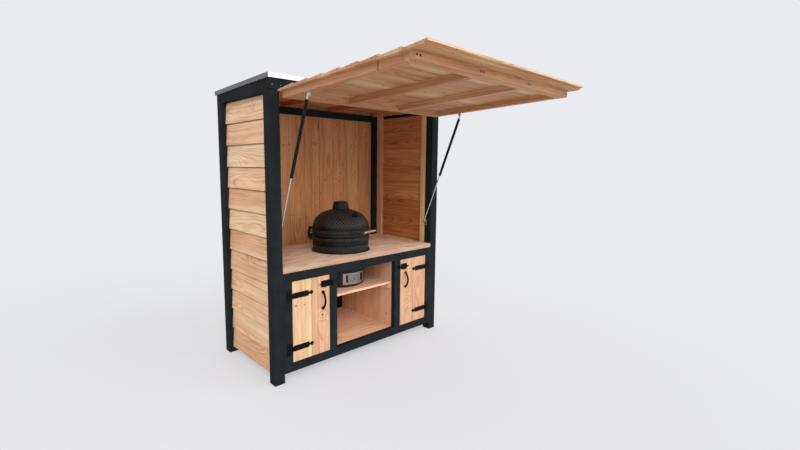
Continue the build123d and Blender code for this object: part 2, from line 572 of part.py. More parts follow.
# Fire bowl, ring, charcoal grate and cooking grid inside the base
bowl_h, ring_tall, grate_t, fire_wall = 256.0, 80.0, 8.0, 26.0
bowl_r, bowl_foot_r, port_r = inner_r - 40.0, inner_r - 82.0, 60.0
bowl_top = base_floor + bowl_h
ring_top = bowl_top + ring_tall
grate_z = base_floor + 40.0
keep("fire_bowl", spun(Polyline(
    (port_r, base_floor), (bowl_foot_r, base_floor), (bowl_r - 14, base_floor + bowl_h / 2),
    (bowl_r, bowl_top), (bowl_r - fire_wall, bowl_top), (bowl_r - 14 - fire_wall, base_floor + bowl_h / 2),
    (bowl_foot_r - fire_wall + 4, grate_z), (port_r, grate_z), close=True)) - draft_hole)
keep("fire_ring", spun(Polyline((bowl_r - 24, bowl_top), (bowl_r + 4, bowl_top), (bowl_r + 10, ring_top),
                                (bowl_r - 16, ring_top), close=True)))
grate_r, slit = bowl_foot_r - fire_wall - 2, 12.0
grate = Pos(KX, KY, grate_z + grate_t / 2) * Cylinder(grate_r, grate_t)
for i in range(-3, 4):
    half = sqrt((grate_r - 22) ** 2 - (i * 2.5 * slit) ** 2)
    x = KX + i * 2.5 * slit
    grate -= block(x - slit / 2, x + slit / 2, KY - half, KY + half, grate_z - 1, grate_z + grate_t + 1)
keep("charcoal_grate", grate)
grid_t, grid_rim, grid_bar = 8.0, 8.0, 3.0
grid_r = bowl_r + 2.0
grid = ring(grid_r - grid_rim, grid_r, ring_top, ring_top + grid_t)
bar_step = grid_r / 6
for i in range(-5, 6):
    half = sqrt((grid_r - grid_rim / 2) ** 2 - (i * bar_step) ** 2)
    grid += rod((KX + i * bar_step, KY - half, ring_top + grid_t / 2),
                (KX + i * bar_step, KY + half, ring_top + grid_t / 2), grid_bar)
keep("cooking_grid", grid)

# Steel bands round base and lid, with the hinge at the back and a clamp at the front of the lid
lid_z = K_JOINT + K_FELT
base_band_z = K_JOINT - K_BAND_EDGE - K_BAND_H
lid_band_z = K_JOINT + K_BAND_EDGE
base_in, lid_in = base_r + FIT, K_R + FIT
hinge_off, hinge_z, hinge_half = K_R + 42.0, K_JOINT - 2.0, 96.0
cheek_t, arm_t, k_pin, boss = 6.0, 7.0, 5.0, 12.0
cheek_low = base_band_z - 32.0
cheek = prism([(base_in, cheek_low), (hinge_off - 8, cheek_low), (hinge_off + boss, cheek_low + 24),
               (hinge_off + boss, hinge_z + boss), (hinge_off - boss, hinge_z + boss),
               (hinge_off - boss, base_band_z + K_BAND_H), (base_in, base_band_z + K_BAND_H)],
              Plane.YZ.offset(hinge_half), cheek_t)
pin_hole = rod((-K_R, hinge_off, hinge_z), (K_R, hinge_off, hinge_z), k_pin + RUN)
reach = hinge_half + cheek_t
base_hinge = (cheek + mirror(cheek, about=Plane.YZ)
              + block(-reach, reach, base_in - boss, base_in + boss, base_band_z, base_band_z + K_BAND_H))
base_hinge -= pin_hole + Cylinder(base_in, 4 * K_JOINT)
base_band = kam(base_hinge) + ring(base_in, base_in + K_BAND_T, base_band_z, base_band_z + K_BAND_H)
keep("base_band", base_band)
hinge_bolts = [rod((-reach - 6, hinge_off, hinge_z), (reach + 6, hinge_off, hinge_z), k_pin)]
for side in (-1, 1):
    hinge_bolts.append(rod((side * reach, hinge_off - 14, cheek_low + 16),
                           (side * (reach + 5), hinge_off - 14, cheek_low + 16), k_pin + 1))
keep("hinge_bolts", [kam(b) for b in hinge_bolts])
band_top = lid_band_z + K_BAND_H
arm = prism([(lid_in, lid_band_z), (hinge_off - boss - 2, lid_band_z),
             (hinge_off - boss + 1, hinge_z - boss + 1), (hinge_off + boss - 1, hinge_z - boss + 1),
             (hinge_off + boss - 1, hinge_z + boss),
             (hinge_off + 3, band_top), (lid_in, band_top)],
            Plane.YZ.offset(hinge_half - arm_t - 2 * RUN), arm_t)
lid_hinge = arm + mirror(arm, about=Plane.YZ)
lid_hinge += block(-hinge_half + 1, hinge_half - 1, lid_in - boss, lid_in + 10, lid_band_z, band_top)
clamp_turn, clamp_w, clamp_out = -32.0, 9.0, 16.0       # clamp place is from the lid's own front
clamp = Rot(0, 0, clamp_turn) * block(-clamp_w, clamp_w, -lid_in - clamp_out, -lid_in + 2,
                                      lid_band_z + 2, band_top - 2)
clamp -= Rot(0, 0, clamp_turn) * block(-1.5, 1.5, -lid_in - clamp_out - 1, -lid_in - K_BAND_T,
                                       lid_band_z, band_top)
lid_hinge = lid_hinge + clamp - pin_hole - Cylinder(lid_in, 4 * K_JOINT)
keep("lid_band", kam(lid_hinge) + ring(lid_in, lid_in + K_BAND_T, lid_band_z, band_top))

# Lid: straight skirt, a shoulder arc that runs into a spherical crown, and a neck
dome_z = lid_z + K_SKIRT
turn_r = K_R - K_SHOULDER          # radius of the circle of shoulder-arc centres
crown_r = (turn_r ** 2 + K_DOME ** 2 - K_SHOULDER ** 2) / (2 * (K_DOME - K_SHOULDER))
crown_c = dome_z + K_DOME - crown_r
meet = degrees(atan2(crown_r - K_DOME, turn_r))


def crown(r, wall=0.0):
    return crown_c + sqrt((crown_r - wall) ** 2 - r ** 2)


lid_inner = K_R - K_WALL
neck_z = crown(K_NECK_R) + 3.0
mouth_r = K_NECK_R - 20.0
rise = degrees(acos(K_NECK_R / crown_r))
lid_outside = [CenterArc((turn_r, dome_z), K_SHOULDER, 0, meet),
               CenterArc((0, crown_c), crown_r, meet, rise - meet)]
lid_courses = 4
turns = [radians(meet) * i / lid_courses for i in range(lid_courses + 1)]
radii = [turn_r + (K_SHOULDER - K_WALL) * cos(a) for a in turns]
crown_step = (radii[-1] - mouth_r) / 3
kamado_lid = spun(*lid_outside, Polyline(
    (K_NECK_R, crown(K_NECK_R)), (K_NECK_R, neck_z), (mouth_r, neck_z),
    *[(mouth_r + crown_step * i, crown(mouth_r + crown_step * i, K_WALL)) for i in range(3)],
    *[(r, dome_z + (K_SHOULDER - K_WALL) * sin(a)) for r, a in zip(reversed(radii), reversed(turns))],
    (lid_inner, lid_z), (K_R, lid_z), (K_R, dome_z)))
gauge_at, gauge_r, gauge_t, probe_r, probe_len = 57.0, 30.0, 16.0, 4.0, 90.0
gauge_out = Vector(0, -cos(radians(gauge_at)), sin(radians(gauge_at)))
gauge_tilt = Plane(origin=Vector(0, -turn_r, dome_z) + gauge_out * K_SHOULDER, x_dir=(1, 0, 0),
                   z_dir=gauge_out)
keep("kamado_lid", kamado_lid - kam(gauge_tilt * Cylinder(probe_r + 1.5, 4 * K_WALL), K_GAUGE_TURN))
felt_in, felt_out = lid_inner + 2.0, K_R - 4.0
keep("lid_felt", ring(felt_in, felt_out, K_JOINT + RUN, lid_z))
at_base, at_top = (Align.CENTER, Align.CENTER, Align.MIN), (Align.CENTER, Align.CENTER, Align.MAX)
gauge = Pos(0, 0, FIT) * Cylinder(gauge_r, gauge_t, align=at_base)
gauge -= Pos(0, 0, gauge_t - 2) * Cylinder(gauge_r - 3, gauge_t, align=at_base)
gauge += Pos(0, 0, gauge_t / 2) * Cylinder(probe_r, probe_len, align=at_top)
keep("lid_gauge", kam(gauge_tilt * gauge, K_GAUGE_TURN))

grip_off, grip_half, grip_r, arm_r, collar_r = 54.0, 74.0, 9.5, 7.0, 12.0
grip_z, grip_y = lid_band_z + K_BAND_H / 2, -(K_R + grip_off)
brackets = []
for side in (-1, 1):
    x = side * grip_half
    seat_at = -sqrt((lid_in + K_BAND_T) ** 2 - x ** 2)
    bracket = rod((x, seat_at + 6, grip_z), (x, grip_y, grip_z), arm_r)
    bracket += rod((x - grip_r, grip_y, grip_z), (x + grip_r, grip_y, grip_z), collar_r)
    brackets.append(kam(bracket - Cylinder(lid_in + K_BAND_T, 4 * K_JOINT)))
keep("lid_grip_brackets", brackets)
keep("lid_grip", kam(rod((-grip_half + grip_r, grip_y, grip_z), (grip_half - grip_r, grip_y, grip_z),
                         grip_r)))

# Vent: cast-iron collar on the neck and a slotted disc that turns on it
vent_top = neck_z + K_VENT_H
cap_t, disc_t, stem_r, lip = 6.0, 6.0, 5.0, 9.0
plate_z = vent_top - cap_t - disc_t - RUN
collar = spun(Polyline(
    (mouth_r, neck_z + FIT), (K_NECK_R + FIT, neck_z + FIT), (K_NECK_R + FIT, neck_z - 2),
    (K_NECK_R + lip, neck_z - 2), (K_NECK_R + lip, neck_z + 10), (K_NECK_R, plate_z + cap_t),
    (0, plate_z + cap_t), (0, plate_z), (K_NECK_R - 8, plate_z), (K_NECK_R - 2, neck_z + 10),
    (mouth_r, neck_z + 8), close=True))
slot_r, slot_l, slot_w, slot_n = K_NECK_R - 28.0, 28.0, 17.0, 5
vent_ports = [Pos(KX, KY, vent_top) * Rot(0, 0, i * 360 / slot_n) * Pos(slot_r, 0, 0)
              * Box(slot_l, slot_w, 4 * (cap_t + disc_t)) for i in range(slot_n)]
stem = Pos(KX, KY, plate_z) * Cylinder(stem_r, cap_t + disc_t + 6, align=at_base)
collar -= vent_ports
keep("vent_collar", collar + stem)
disc_z = plate_z + cap_t + RUN
disc = Pos(KX, KY, disc_z) * Cylinder(K_NECK_R - 6, disc_t, align=at_base)
disc -= vent_ports
disc -= Pos(KX, KY, disc_z) * Cylinder(stem_r + RUN, 4 * disc_t)
knob_turn = 180 / slot_n
disc += Pos(KX, KY, disc_z) * Rot(0, 0, knob_turn) * Pos(slot_r + 8, 0, 0) * Cylinder(
    stem_r, disc_t + 10, align=at_base)
keep("vent_disc", disc)

# Draft door: bent steel frame on the waist of the base with a sliding curved door
frame_ang, open_ang, frame_rim = 33.0, 26.0, 16.0
draft_sheet, door_sheet, rail_out, rail_h = 3.0, 2.4, 6.0, 4.0
z0, z1 = draft_z[0] - frame_rim, draft_z[1] + frame_rim


def bent(r0, r1, z_low, z_high, a0, a1):
    """Piece of a vertical steel sheet rolled about the grill axis, between two angles."""
    sector = make_face(Polyline((r0, z_low), (r1, z_low), (r1, z_high), (r0, z_high), close=True))
    return Pos(KX, KY, 0) * Rot(0, 0, -90 + a0) * revolve(Plane.XZ * sector, Axis.Z, a1 - a0)


draft_in = waist_r + FIT
draft_face = draft_in + draft_sheet
frame = bent(draft_in, draft_face, z0, z1, -frame_ang, frame_ang)
frame -= bent(draft_in - 2, draft_face + 2, *draft_z, -open_ang, open_ang)
for z in (z0, z1 - rail_h):
    frame += bent(draft_face, draft_face + rail_out, z, z + rail_h, -frame_ang, frame_ang)
keep("draft_frame", frame)
door_r = draft_face + 2 * FIT
door_face = door_r + door_sheet
draft = bent(door_r, door_face, z0 + rail_h + 2 * FIT, z1 - rail_h - 2 * FIT, -20, 14)
tab_mid, tab_half, tab_out = (z0 + z1) / 2, 9.0, 10.0
draft += bent(door_face, door_face + tab_out, tab_mid - tab_half, tab_mid + tab_half, -4.5, -1.5)
keep("draft_door", draft)

for name, solids in nodes.items():
    export_step(solids[0] if len(solids) == 1 else Compound(children=solids),
                "parts/" + name + ".step")
print(len(nodes), "nodes", sum(len(s) for s in nodes.values()), "solids")
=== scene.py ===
"""Finishes and studio for the timber outdoor kitchen with its lift-up flap and built-in kamado grill.

Metres, in the frame of the solids: X to the right, Y to the back, Z up, origin on the floor.
"""
import math

import bmesh
import bpy
from mathutils import Matrix, Vector


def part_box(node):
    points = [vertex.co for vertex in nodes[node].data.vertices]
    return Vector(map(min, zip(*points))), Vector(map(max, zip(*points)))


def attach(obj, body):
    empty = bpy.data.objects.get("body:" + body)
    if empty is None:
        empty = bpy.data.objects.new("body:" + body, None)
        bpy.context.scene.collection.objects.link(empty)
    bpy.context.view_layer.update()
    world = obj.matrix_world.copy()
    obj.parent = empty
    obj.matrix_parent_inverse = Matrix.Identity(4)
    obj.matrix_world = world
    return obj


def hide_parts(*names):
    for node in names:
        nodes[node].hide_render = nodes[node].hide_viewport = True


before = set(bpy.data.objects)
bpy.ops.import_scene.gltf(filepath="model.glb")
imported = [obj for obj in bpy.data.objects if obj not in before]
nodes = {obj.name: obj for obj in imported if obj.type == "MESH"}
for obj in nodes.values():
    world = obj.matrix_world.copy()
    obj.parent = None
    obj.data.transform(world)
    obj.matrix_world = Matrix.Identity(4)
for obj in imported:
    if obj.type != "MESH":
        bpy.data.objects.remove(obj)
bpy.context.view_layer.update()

# Painted frame: planed softwood posts, rails and stiles, screwed together on site. They carry two coats of
# anthracite garden paint, rolled on, so the timber's grain still lifts the film a little and the
# arrises are rubbed paler where the kitchen is handled.
MM = 0.001
PAINT, PAINT_WORN = "#212527", "#393C3E"
BRUSH_LINE = 5 * MM          # real grain under the film is about 1 mm; drawn coarser so that it shows
GRAIN_RUN = 300 * MM         # length of one raised line of grain
ROLL_PATCH = 111 * MM        # spacing of the uneven patches that the roller leaves
RUBBED_ARRIS, PAINTED_ARRIS = 4 * MM, 3 * MM


def linear(hex_colour):
    """sRGB hex colour as linear RGBA."""
    channels = [int(hex_colour[i:i + 2], 16) / 255 for i in (1, 3, 5)]
    return [c / 12.92 if c <= 0.04045 else ((c + 0.055) / 1.055) ** 2.4 for c in channels] + [1.0]


def add_node(tree, kind, sockets=None, **settings):
    """Adds a shader node, sets its properties, and fills or links the input sockets that are named."""
    node = tree.nodes.new("ShaderNode" + kind)
    for name, value in settings.items():
        setattr(node, name, value)
    for key, value in (sockets or {}).items():
        if isinstance(value, bpy.types.NodeSocket):
            tree.links.new(value, node.inputs[key])
        else:
            node.inputs[key].default_value = value
    return node


def new_finish(name, specular=0.5):
    """Empty material with its tree, principled shader and object coordinates."""
    finish = bpy.data.materials.new(name)
    finish.use_nodes = True
    tree = finish.node_tree
    shader = tree.nodes["Principled BSDF"]
    shader.inputs["Specular IOR Level"].default_value = specular
    place = add_node(tree, "TexCoord").outputs["Object"]
    return finish, tree, shader, place


def coat(tree, shader, colour, gloss, relief, strength, depth, rounded=None):
    """Links a finish's colour, roughness and relief to its shader; rounded is the normal of eased edges."""
    lift = add_node(tree, "Bump", {"Height": relief, "Strength": strength, "Distance": depth})
    if rounded is not None:
        tree.links.new(rounded, lift.inputs["Normal"])
    for socket, value in (("Base Color", colour), ("Roughness", gloss), ("Normal", lift.outputs[0])):
        tree.links.new(value, shader.inputs[socket])


def rubbed_edges(tree, patchy, width, sharp, blunt, most):
    """Normal of a coat's rounded edges, and how far the edges are rubbed paler from patch to patch."""
    rounded = add_node(tree, "Bevel", {"Radius": width}, samples=4).outputs[0]
    flat = add_node(tree, "NewGeometry").outputs["Normal"]
    bend = add_node(tree, "VectorMath", {0: rounded, 1: flat}, operation="DOT_PRODUCT").outputs["Value"]
    edge = add_node(tree, "MapRange", {0: bend, 1: sharp, 2: blunt, 3: 0.0, 4: most}).outputs[0]
    return rounded, add_node(tree, "Math", {0: edge, 1: patchy}, operation="MULTIPLY").outputs[0]


def dress(finish, *names):
    """Gives CAD nodes a finish."""
    for name in names:
        for material_slot in nodes[name].material_slots:
            material_slot.material = finish


def join_faces(name):
    """Joins the faces of each solid of a CAD node along their edges."""
    weld = nodes[name].modifiers.new("joined_faces", "WELD")
    weld.merge_threshold = 0.01 * MM


def ease_edges(width, *names):
    """Eased arrises on planed timber: joins the faces of each solid, then rounds its sharp edges."""
    for name in names:
        join_faces(name)
        arris = nodes[name].modifiers.new("eased_arris", "BEVEL")
        arris.width = width
        arris.segments = 2
        arris.limit_method = "ANGLE"
        arris.angle_limit = math.radians(40)


def anthracite_paint(name, grain):
    """Satin paint on planed softwood: deep grey, with raised grain along the timber and paler edges."""
    finish, tree, shader, place = new_finish(name, specular=0.03)
    stretch = [1 / (GRAIN_RUN if axis == grain else BRUSH_LINE) for axis in "XYZ"]
    along = add_node(tree, "VectorMath", {0: place, 1: stretch}, operation="MULTIPLY").outputs[0]
    raised = add_node(tree, "TexNoise", {"Vector": along, "Scale": 1.0, "Detail": 3.0}).outputs[0]
    patchy = add_node(tree, "TexNoise", {"Vector": place, "Scale": 1 / ROLL_PATCH, "Detail": 4.0}).outputs[0]
    rounded, rubbed = rubbed_edges(tree, patchy, RUBBED_ARRIS, sharp=0.99, blunt=0.80, most=0.75)
    tone = add_node(tree, "MapRange", {0: patchy, 1: 0.3, 2: 0.7, 3: 0.82, 4: 1.20}).outputs[0]
    line = add_node(tree, "MapRange", {0: raised, 1: 0.3, 2: 0.7, 3: 0.90, 4: 1.12}).outputs[0]
    tone = add_node(tree, "Math", {0: tone, 1: line}, operation="MULTIPLY").outputs[0]
    film = add_node(tree, "VectorMath", {0: linear(PAINT)[:3], "Scale": tone}, operation="SCALE").outputs[0]
    colour = add_node(tree, "Mix", {0: rubbed, 6: film, 7: linear(PAINT_WORN)}, data_type="RGBA").outputs[2]
    gloss = add_node(tree, "MapRange", {0: raised, 1: 0.3, 2: 0.7, 3: 0.62, 4: 0.80}).outputs[0]
    coat(tree, shader, colour, gloss, raised, 0.35, 0.4 * MM, rounded)
    return finish


dress(anthracite_paint("anthracite_paint_upright_timber", "Z"), "corner_posts", "rear_frame")
dress(anthracite_paint("anthracite_paint_cross_timber", "X"), "front_fascia", "front_frame")
dress(anthracite_paint("anthracite_paint_side_timber", "Y"), "side_top_rails")
ease_edges(PAINTED_ARRIS, "corner_posts", "front_fascia", "side_top_rails")

# Side walls: twelve courses of lapped Douglas boards on each side, planed, nailed to upright battens beside
# the posts. The timber is left bare, so each board keeps its own colour: pinkish heartwood with darker
# late-wood lines, a cream sapwood band on some edges, and a few small knots.
# The second set of tones is the same wood, darker and redder: painted shade for the walls' inner faces and
# the roof frame.
OUTER_WOOD, SHADED_WOOD = ("#EAC59F", "#DAA981", "#EED7B0"), ("#CD8C5B", "#B16D40", "#D39C69")
# The joint colour also paints the shade under each lap.
LATE_WOOD, RED_STREAK, KNOT, JOINT_AND_LAP_SHADE_TINT = "#C79572", "#E2B79E", "#5B3018", "#4A2E1C"
RING = 12 * MM               # real growth rings are 3 to 5 mm; drawn coarser so that they show
PITH_NEAR, PITH_FAR = 20 * MM, 110 * MM
PITH_SWAY, PITH_SWAYS = 130 * MM, 1.2     # how far the pith wanders, and how often in a metre
DEPTH_FOLD = 60 * MM         # depth is counted to and fro, so that every face lies near a pith
HEART_SMALL, HEART_LARGE = 90 * MM, 240 * MM
SAP_FROM, SAP_TO = -12 * MM, 20 * MM      # the change to sapwood, from the edge of the heart
KNOT_CELL = 230 * MM         # about one knot for every cell of this size, where the cell has one
KNOT_SMALL, KNOT_LARGE, KNOT_HEART, KNOT_REACH = 5.06 * MM, 13.8 * MM, 2.76 * MM, 78.2 * MM
FIBRE, FIBRE_RUN = 22 * MM, 550 * MM      # streaks of the grain, with finer ones down to 3 mm inside them
PATCHES_ACROSS, PATCHES_ALONG = 11.0, 3.0     # paler and deeper patches in a metre
LANE, SHUFFLE = 3.7, 5.17    # steps from board to board in the patterns, so that neighbours differ
JOINT_FINE, JOINT_LINE = 1 * MM, 4.5 * MM     # real joints are 1 mm wide; drawn wider so that they show
LAP_SHADE = 16 * MM          # painted shade: the strip under each lap is darkened where the lap above casts its shadow
WALL_START, COURSE, LAP, WALL_BACK = 54 * MM, 178 * MM, 18 * MM, 865 * MM
BATTEN_CELL, BOARD_ARRIS = 370 * MM, 1.5 * MM


def douglas(name, grain, across, start, width, seed, tones, inside=None, figure=1.0, knotty=0.3, sappy=0.4,
            gap=0.45, lapped=None, turned=None):
    """Bare planed Douglas fir, in boards of one width laid side by side from start along across.

    Growth rings are circles round a pith that wanders under each board, so faces show arches and end grain
    shows arcs. tones are the palest heartwood, the deepest heartwood and the sapwood; figure is the strength
    of rings and streaks; knotty is the share of cells that hold a knot; sappy and gap are the strengths of
    sapwood and of the dark joints. lapped is the overlap of weatherboards and the depth of their back plane,
    and inside are the tones of that plane; the outer faces of lapped boards get a painted shade under each
    lap.
    turned is an axis and the range along it outside which the timbers lie crosswise.
    """
    finish, tree, shader, place = new_finish(name, specular=0.3)
    through = Vector(grain).cross(Vector(across))
    along, side, depth = [
        add_node(tree, "VectorMath", {0: place, 1: axis}, operation="DOT_PRODUCT").outputs["Value"]
        for axis in (grain, across, through)]
    if turned:
        axis, low, high = turned
        reach = add_node(tree, "VectorMath", {0: place, 1: axis}, operation="DOT_PRODUCT").outputs["Value"]
        lengthwise = add_node(tree, "Math", {0: reach, 1: (low + high) / 2, 2: (high - low) / 2},
                              operation="COMPARE").outputs[0]
        along, side = [
            add_node(tree, "Mix", {0: lengthwise, 2: other, 3: own}, data_type="FLOAT").outputs[0]
            for own, other in ((along, side), (side, along))]
    if lapped:
        overlap, back_plane = lapped
        at_back = add_node(tree, "Math", {0: depth, 1: back_plane, 2: 1 * MM},
                           operation="COMPARE").outputs[0]
        side = add_node(tree, "Math", {0: at_back, 1: -overlap, 2: side},
                        operation="MULTIPLY_ADD").outputs[0]
    count = add_node(tree, "Math", {0: side, 1: 1 / width, 2: -start / width},
                     operation="MULTIPLY_ADD").outputs[0]
    board = add_node(tree, "Math", {0: count}, operation="FLOOR").outputs[0]
    part = add_node(tree, "Math", {0: count}, operation="FRACT").outputs[0]
    key = add_node(tree, "Math", {0: board, 1: seed + 0.5}, operation="ADD").outputs[0]
    pick = add_node(tree, "TexWhiteNoise", {"W": key}, noise_dimensions="1D")
    first, second, third = add_node(tree, "SeparateColor", {0: pick.outputs["Color"]}).outputs

    # Pith of each board: beside and under it, wandering slowly along the grain
    lane = add_node(tree, "Math", {0: key, 1: LANE}, operation="MULTIPLY").outputs[0]
    run = add_node(tree, "CombineXYZ", {0: along, 1: lane}).outputs[0]
    wander = add_node(tree, "TexNoise", {"Vector": run, "Scale": PITH_SWAYS, "Detail": 2.0}).outputs["Color"]
    sway = add_node(tree, "VectorMath", {0: wander, 1: (0.5, 0.5, 0.5)}, operation="SUBTRACT").outputs[0]
    sway = add_node(tree, "VectorMath", {0: sway, "Scale": PITH_SWAY}, operation="SCALE").outputs[0]
    aside = add_node(tree, "Math", {0: part, 1: first}, operation="SUBTRACT").outputs[0]
    aside = add_node(tree, "Math", {0: aside, 1: width}, operation="MULTIPLY").outputs[0]
    below = add_node(tree, "MapRange", {0: second, 1: 0.0, 2: 1.0, 3: PITH_NEAR, 4: PITH_FAR}).outputs[0]
    shift = add_node(tree, "Math", {0: depth, 1: DEPTH_FOLD}, operation="PINGPONG").outputs[0]
    below = add_node(tree, "Math", {0: below, 1: shift}, operation="ADD").outputs[0]
    from_pith = add_node(tree, "CombineXYZ", {0: aside, 1: below}).outputs[0]
    from_pith = add_node(tree, "VectorMath", {0: from_pith, 1: sway}, operation="ADD").outputs[0]
    radius = add_node(tree, "VectorMath", {0: from_pith}, operation="LENGTH").outputs["Value"]

    # Knots: one in some cells of a grid that shifts from board to board; the rings bend round them
    shuffled = add_node(tree, "Math", {0: key, 1: SHUFFLE, 2: along}, operation="MULTIPLY_ADD").outputs[0]
    spot = add_node(tree, "CombineXYZ", {0: shuffled, 1: side}).outputs[0]
    cell = add_node(tree, "TexVoronoi", {"Vector": spot, "Scale": 1 / KNOT_CELL, "Randomness": 0.9},
                    voronoi_dimensions="2D")
    chance, girth, _ = add_node(tree, "SeparateColor", {0: cell.outputs["Color"]}).outputs
    there = add_node(tree, "Math", {0: chance, 1: knotty}, operation="LESS_THAN").outputs[0]
    knot_r = add_node(tree, "MapRange", {0: girth, 1: 0.0, 2: 1.0, 3: KNOT_SMALL / KNOT_CELL,
                                         4: KNOT_LARGE / KNOT_CELL}).outputs[0]
    knot = add_node(tree, "MapRange", {0: cell.outputs["Distance"], 1: knot_r, 2: KNOT_HEART / KNOT_CELL,
                                       3: 0.0, 4: 0.9}).outputs[0]
    knot = add_node(tree, "Math", {0: knot, 1: there}, operation="MULTIPLY").outputs[0]
    near = add_node(tree, "MapRange", {0: cell.outputs["Distance"], 1: KNOT_REACH / KNOT_CELL, 2: 0.0,
                                       3: 0.0, 4: 2.2 * RING}, interpolation_type="SMOOTHSTEP").outputs[0]
    near = add_node(tree, "Math", {0: near, 1: there}, operation="MULTIPLY").outputs[0]
    bent = add_node(tree, "Math", {0: radius, 1: near}, operation="ADD").outputs[0]

    # Late wood: each ring darkens slowly and ends sharply; streaks and patches run along the grain
    turns = add_node(tree, "Math", {0: bent, 1: RING}, operation="DIVIDE").outputs[0]
    ring = add_node(tree, "Math", {0: turns}, operation="FRACT").outputs[0]
    late_ramp = add_node(tree, "ValToRGB", {0: ring})
    late_ramp.color_ramp.elements[0].position = 0.40
    late_ramp.color_ramp.elements[1].position = 0.88
    late_ramp.color_ramp.elements.new(1.0).color = (0, 0, 0, 1)
    late = late_ramp.outputs[0]
    spread = add_node(tree, "CombineXYZ", {0: shuffled, 1: side, 2: depth}).outputs[0]
    fine = add_node(tree, "VectorMath", {0: spread, 1: (1 / FIBRE_RUN, 1 / FIBRE, 1 / FIBRE)},
                    operation="MULTIPLY").outputs[0]
    fibre = add_node(tree, "TexNoise", {"Vector": fine, "Scale": 1.0, "Detail": 4.0,
                                        "Roughness": 0.65}).outputs[0]
    broad = add_node(tree, "VectorMath", {0: spread, 1: (PATCHES_ALONG, PATCHES_ACROSS, PATCHES_ACROSS)},
                     operation="MULTIPLY").outputs[0]
    patch = add_node(tree, "TexNoise", {"Vector": broad, "Scale": 1.0, "Detail": 3.0}).outputs[0]

    # Tone: heartwood of the board, with sapwood beyond a radius
    tone = add_node(tree, "Math", {0: pick.outputs["Value"], 1: patch}, operation="ADD").outputs[0]
    tone = add_node(tree, "MapRange", {0: tone, 1: 0.3, 2: 1.7}).outputs[0]
    pale, deep, sapwood = [linear(hex_colour) for hex_colour in tones]
    # Painted shade: the weatherboards' back plane takes the darker inside tones.
    if inside:
        pale, deep, sapwood = [
            add_node(tree, "Mix", {0: at_back, 6: outer, 7: linear(inner)}, data_type="RGBA").outputs[2]
            for outer, inner in zip((pale, deep, sapwood), inside)]
    colour = add_node(tree, "Mix", {0: tone, 6: pale, 7: deep}, data_type="RGBA").outputs[2]
    heart = add_node(tree, "MapRange", {0: third, 1: 0.0, 2: 1.0, 3: HEART_SMALL, 4: HEART_LARGE}).outputs[0]
    beyond = add_node(tree, "Math", {0: radius, 1: heart}, operation="SUBTRACT").outputs[0]
    sap = add_node(tree, "MapRange", {0: beyond, 1: SAP_FROM, 2: SAP_TO, 3: 0.0, 4: sappy}).outputs[0]
    colour = add_node(tree, "Mix", {0: sap, 6: colour, 7: sapwood}, data_type="RGBA").outputs[2]

    # Marks on it: red streaks, late wood, knots, and the joints with, on weatherboards, a painted shade
    # under each lap; joints and shade only show on the boards' faces
    reddish = add_node(tree, "MapRange", {0: fibre, 1: 0.42, 2: 0.78, 3: 0.0, 4: 0.45}).outputs[0]
    bold = add_node(tree, "MapRange", {0: patch, 1: 0.35, 2: 0.65, 3: 0.12 * figure,
                                       4: 0.52 * figure}).outputs[0]
    lines = add_node(tree, "Math", {0: late, 1: bold}, operation="MULTIPLY").outputs[0]
    joint_and_lap_shade = add_node(tree, "Math", {0: part, 1: 0.5}, operation="PINGPONG").outputs[0]
    joint_and_lap_shade = add_node(tree, "MapRange", {0: joint_and_lap_shade, 1: JOINT_FINE / width, 2: JOINT_LINE / width, 3: gap,
                                        4: 0.0}).outputs[0]
    if lapped:
        # Painted shade: a dark strip under each lap on the weatherboards' outer faces; the back plane keeps
        # the joint lines.
        lap_shadow = add_node(tree, "MapRange", {0: part, 1: 1 - LAP_SHADE / width, 2: 1.0, 3: 0.0,
                                                4: 0.9}).outputs[0]
        joint_and_lap_shade = add_node(tree, "Mix", {0: at_back, 2: lap_shadow, 3: joint_and_lap_shade}, data_type="FLOAT").outputs[0]
    outward = place.node.outputs["Normal"]
    facing = add_node(tree, "VectorMath", {0: outward, 1: through}, operation="DOT_PRODUCT").outputs["Value"]
    facing = add_node(tree, "Math", {0: facing}, operation="ABSOLUTE").outputs[0]
    on_face = add_node(tree, "Math", {0: facing, 1: 0.7}, operation="GREATER_THAN").outputs[0]
    joint_and_lap_shade = add_node(tree, "Math", {0: joint_and_lap_shade, 1: on_face}, operation="MULTIPLY").outputs[0]
    for amount, tint in ((reddish, RED_STREAK), (lines, LATE_WOOD), (knot, KNOT), (joint_and_lap_shade, JOINT_AND_LAP_SHADE_TINT)):
        colour = add_node(tree, "Mix", {0: amount, 6: colour, 7: linear(tint)}, data_type="RGBA",
                          blend_type="MULTIPLY").outputs[2]
    streak = add_node(tree, "MapRange", {0: fibre, 1: 0.3, 2: 0.7, 3: 1 + 0.09 * figure,
                                         4: 1 - 0.11 * figure}).outputs[0]
    colour = add_node(tree, "VectorMath", {0: colour, "Scale": streak}, operation="SCALE").outputs[0]
    gloss = add_node(tree, "MapRange", {0: fibre, 1: 0.3, 2: 0.7, 3: 0.56, 4: 0.74}).outputs[0]
    relief = add_node(tree, "Math", {0: late, 1: 0.5, 2: fibre}, operation="MULTIPLY_ADD").outputs[0]
    coat(tree, shader, colour, gloss, relief, 0.5, 0.35 * MM)
    return finish


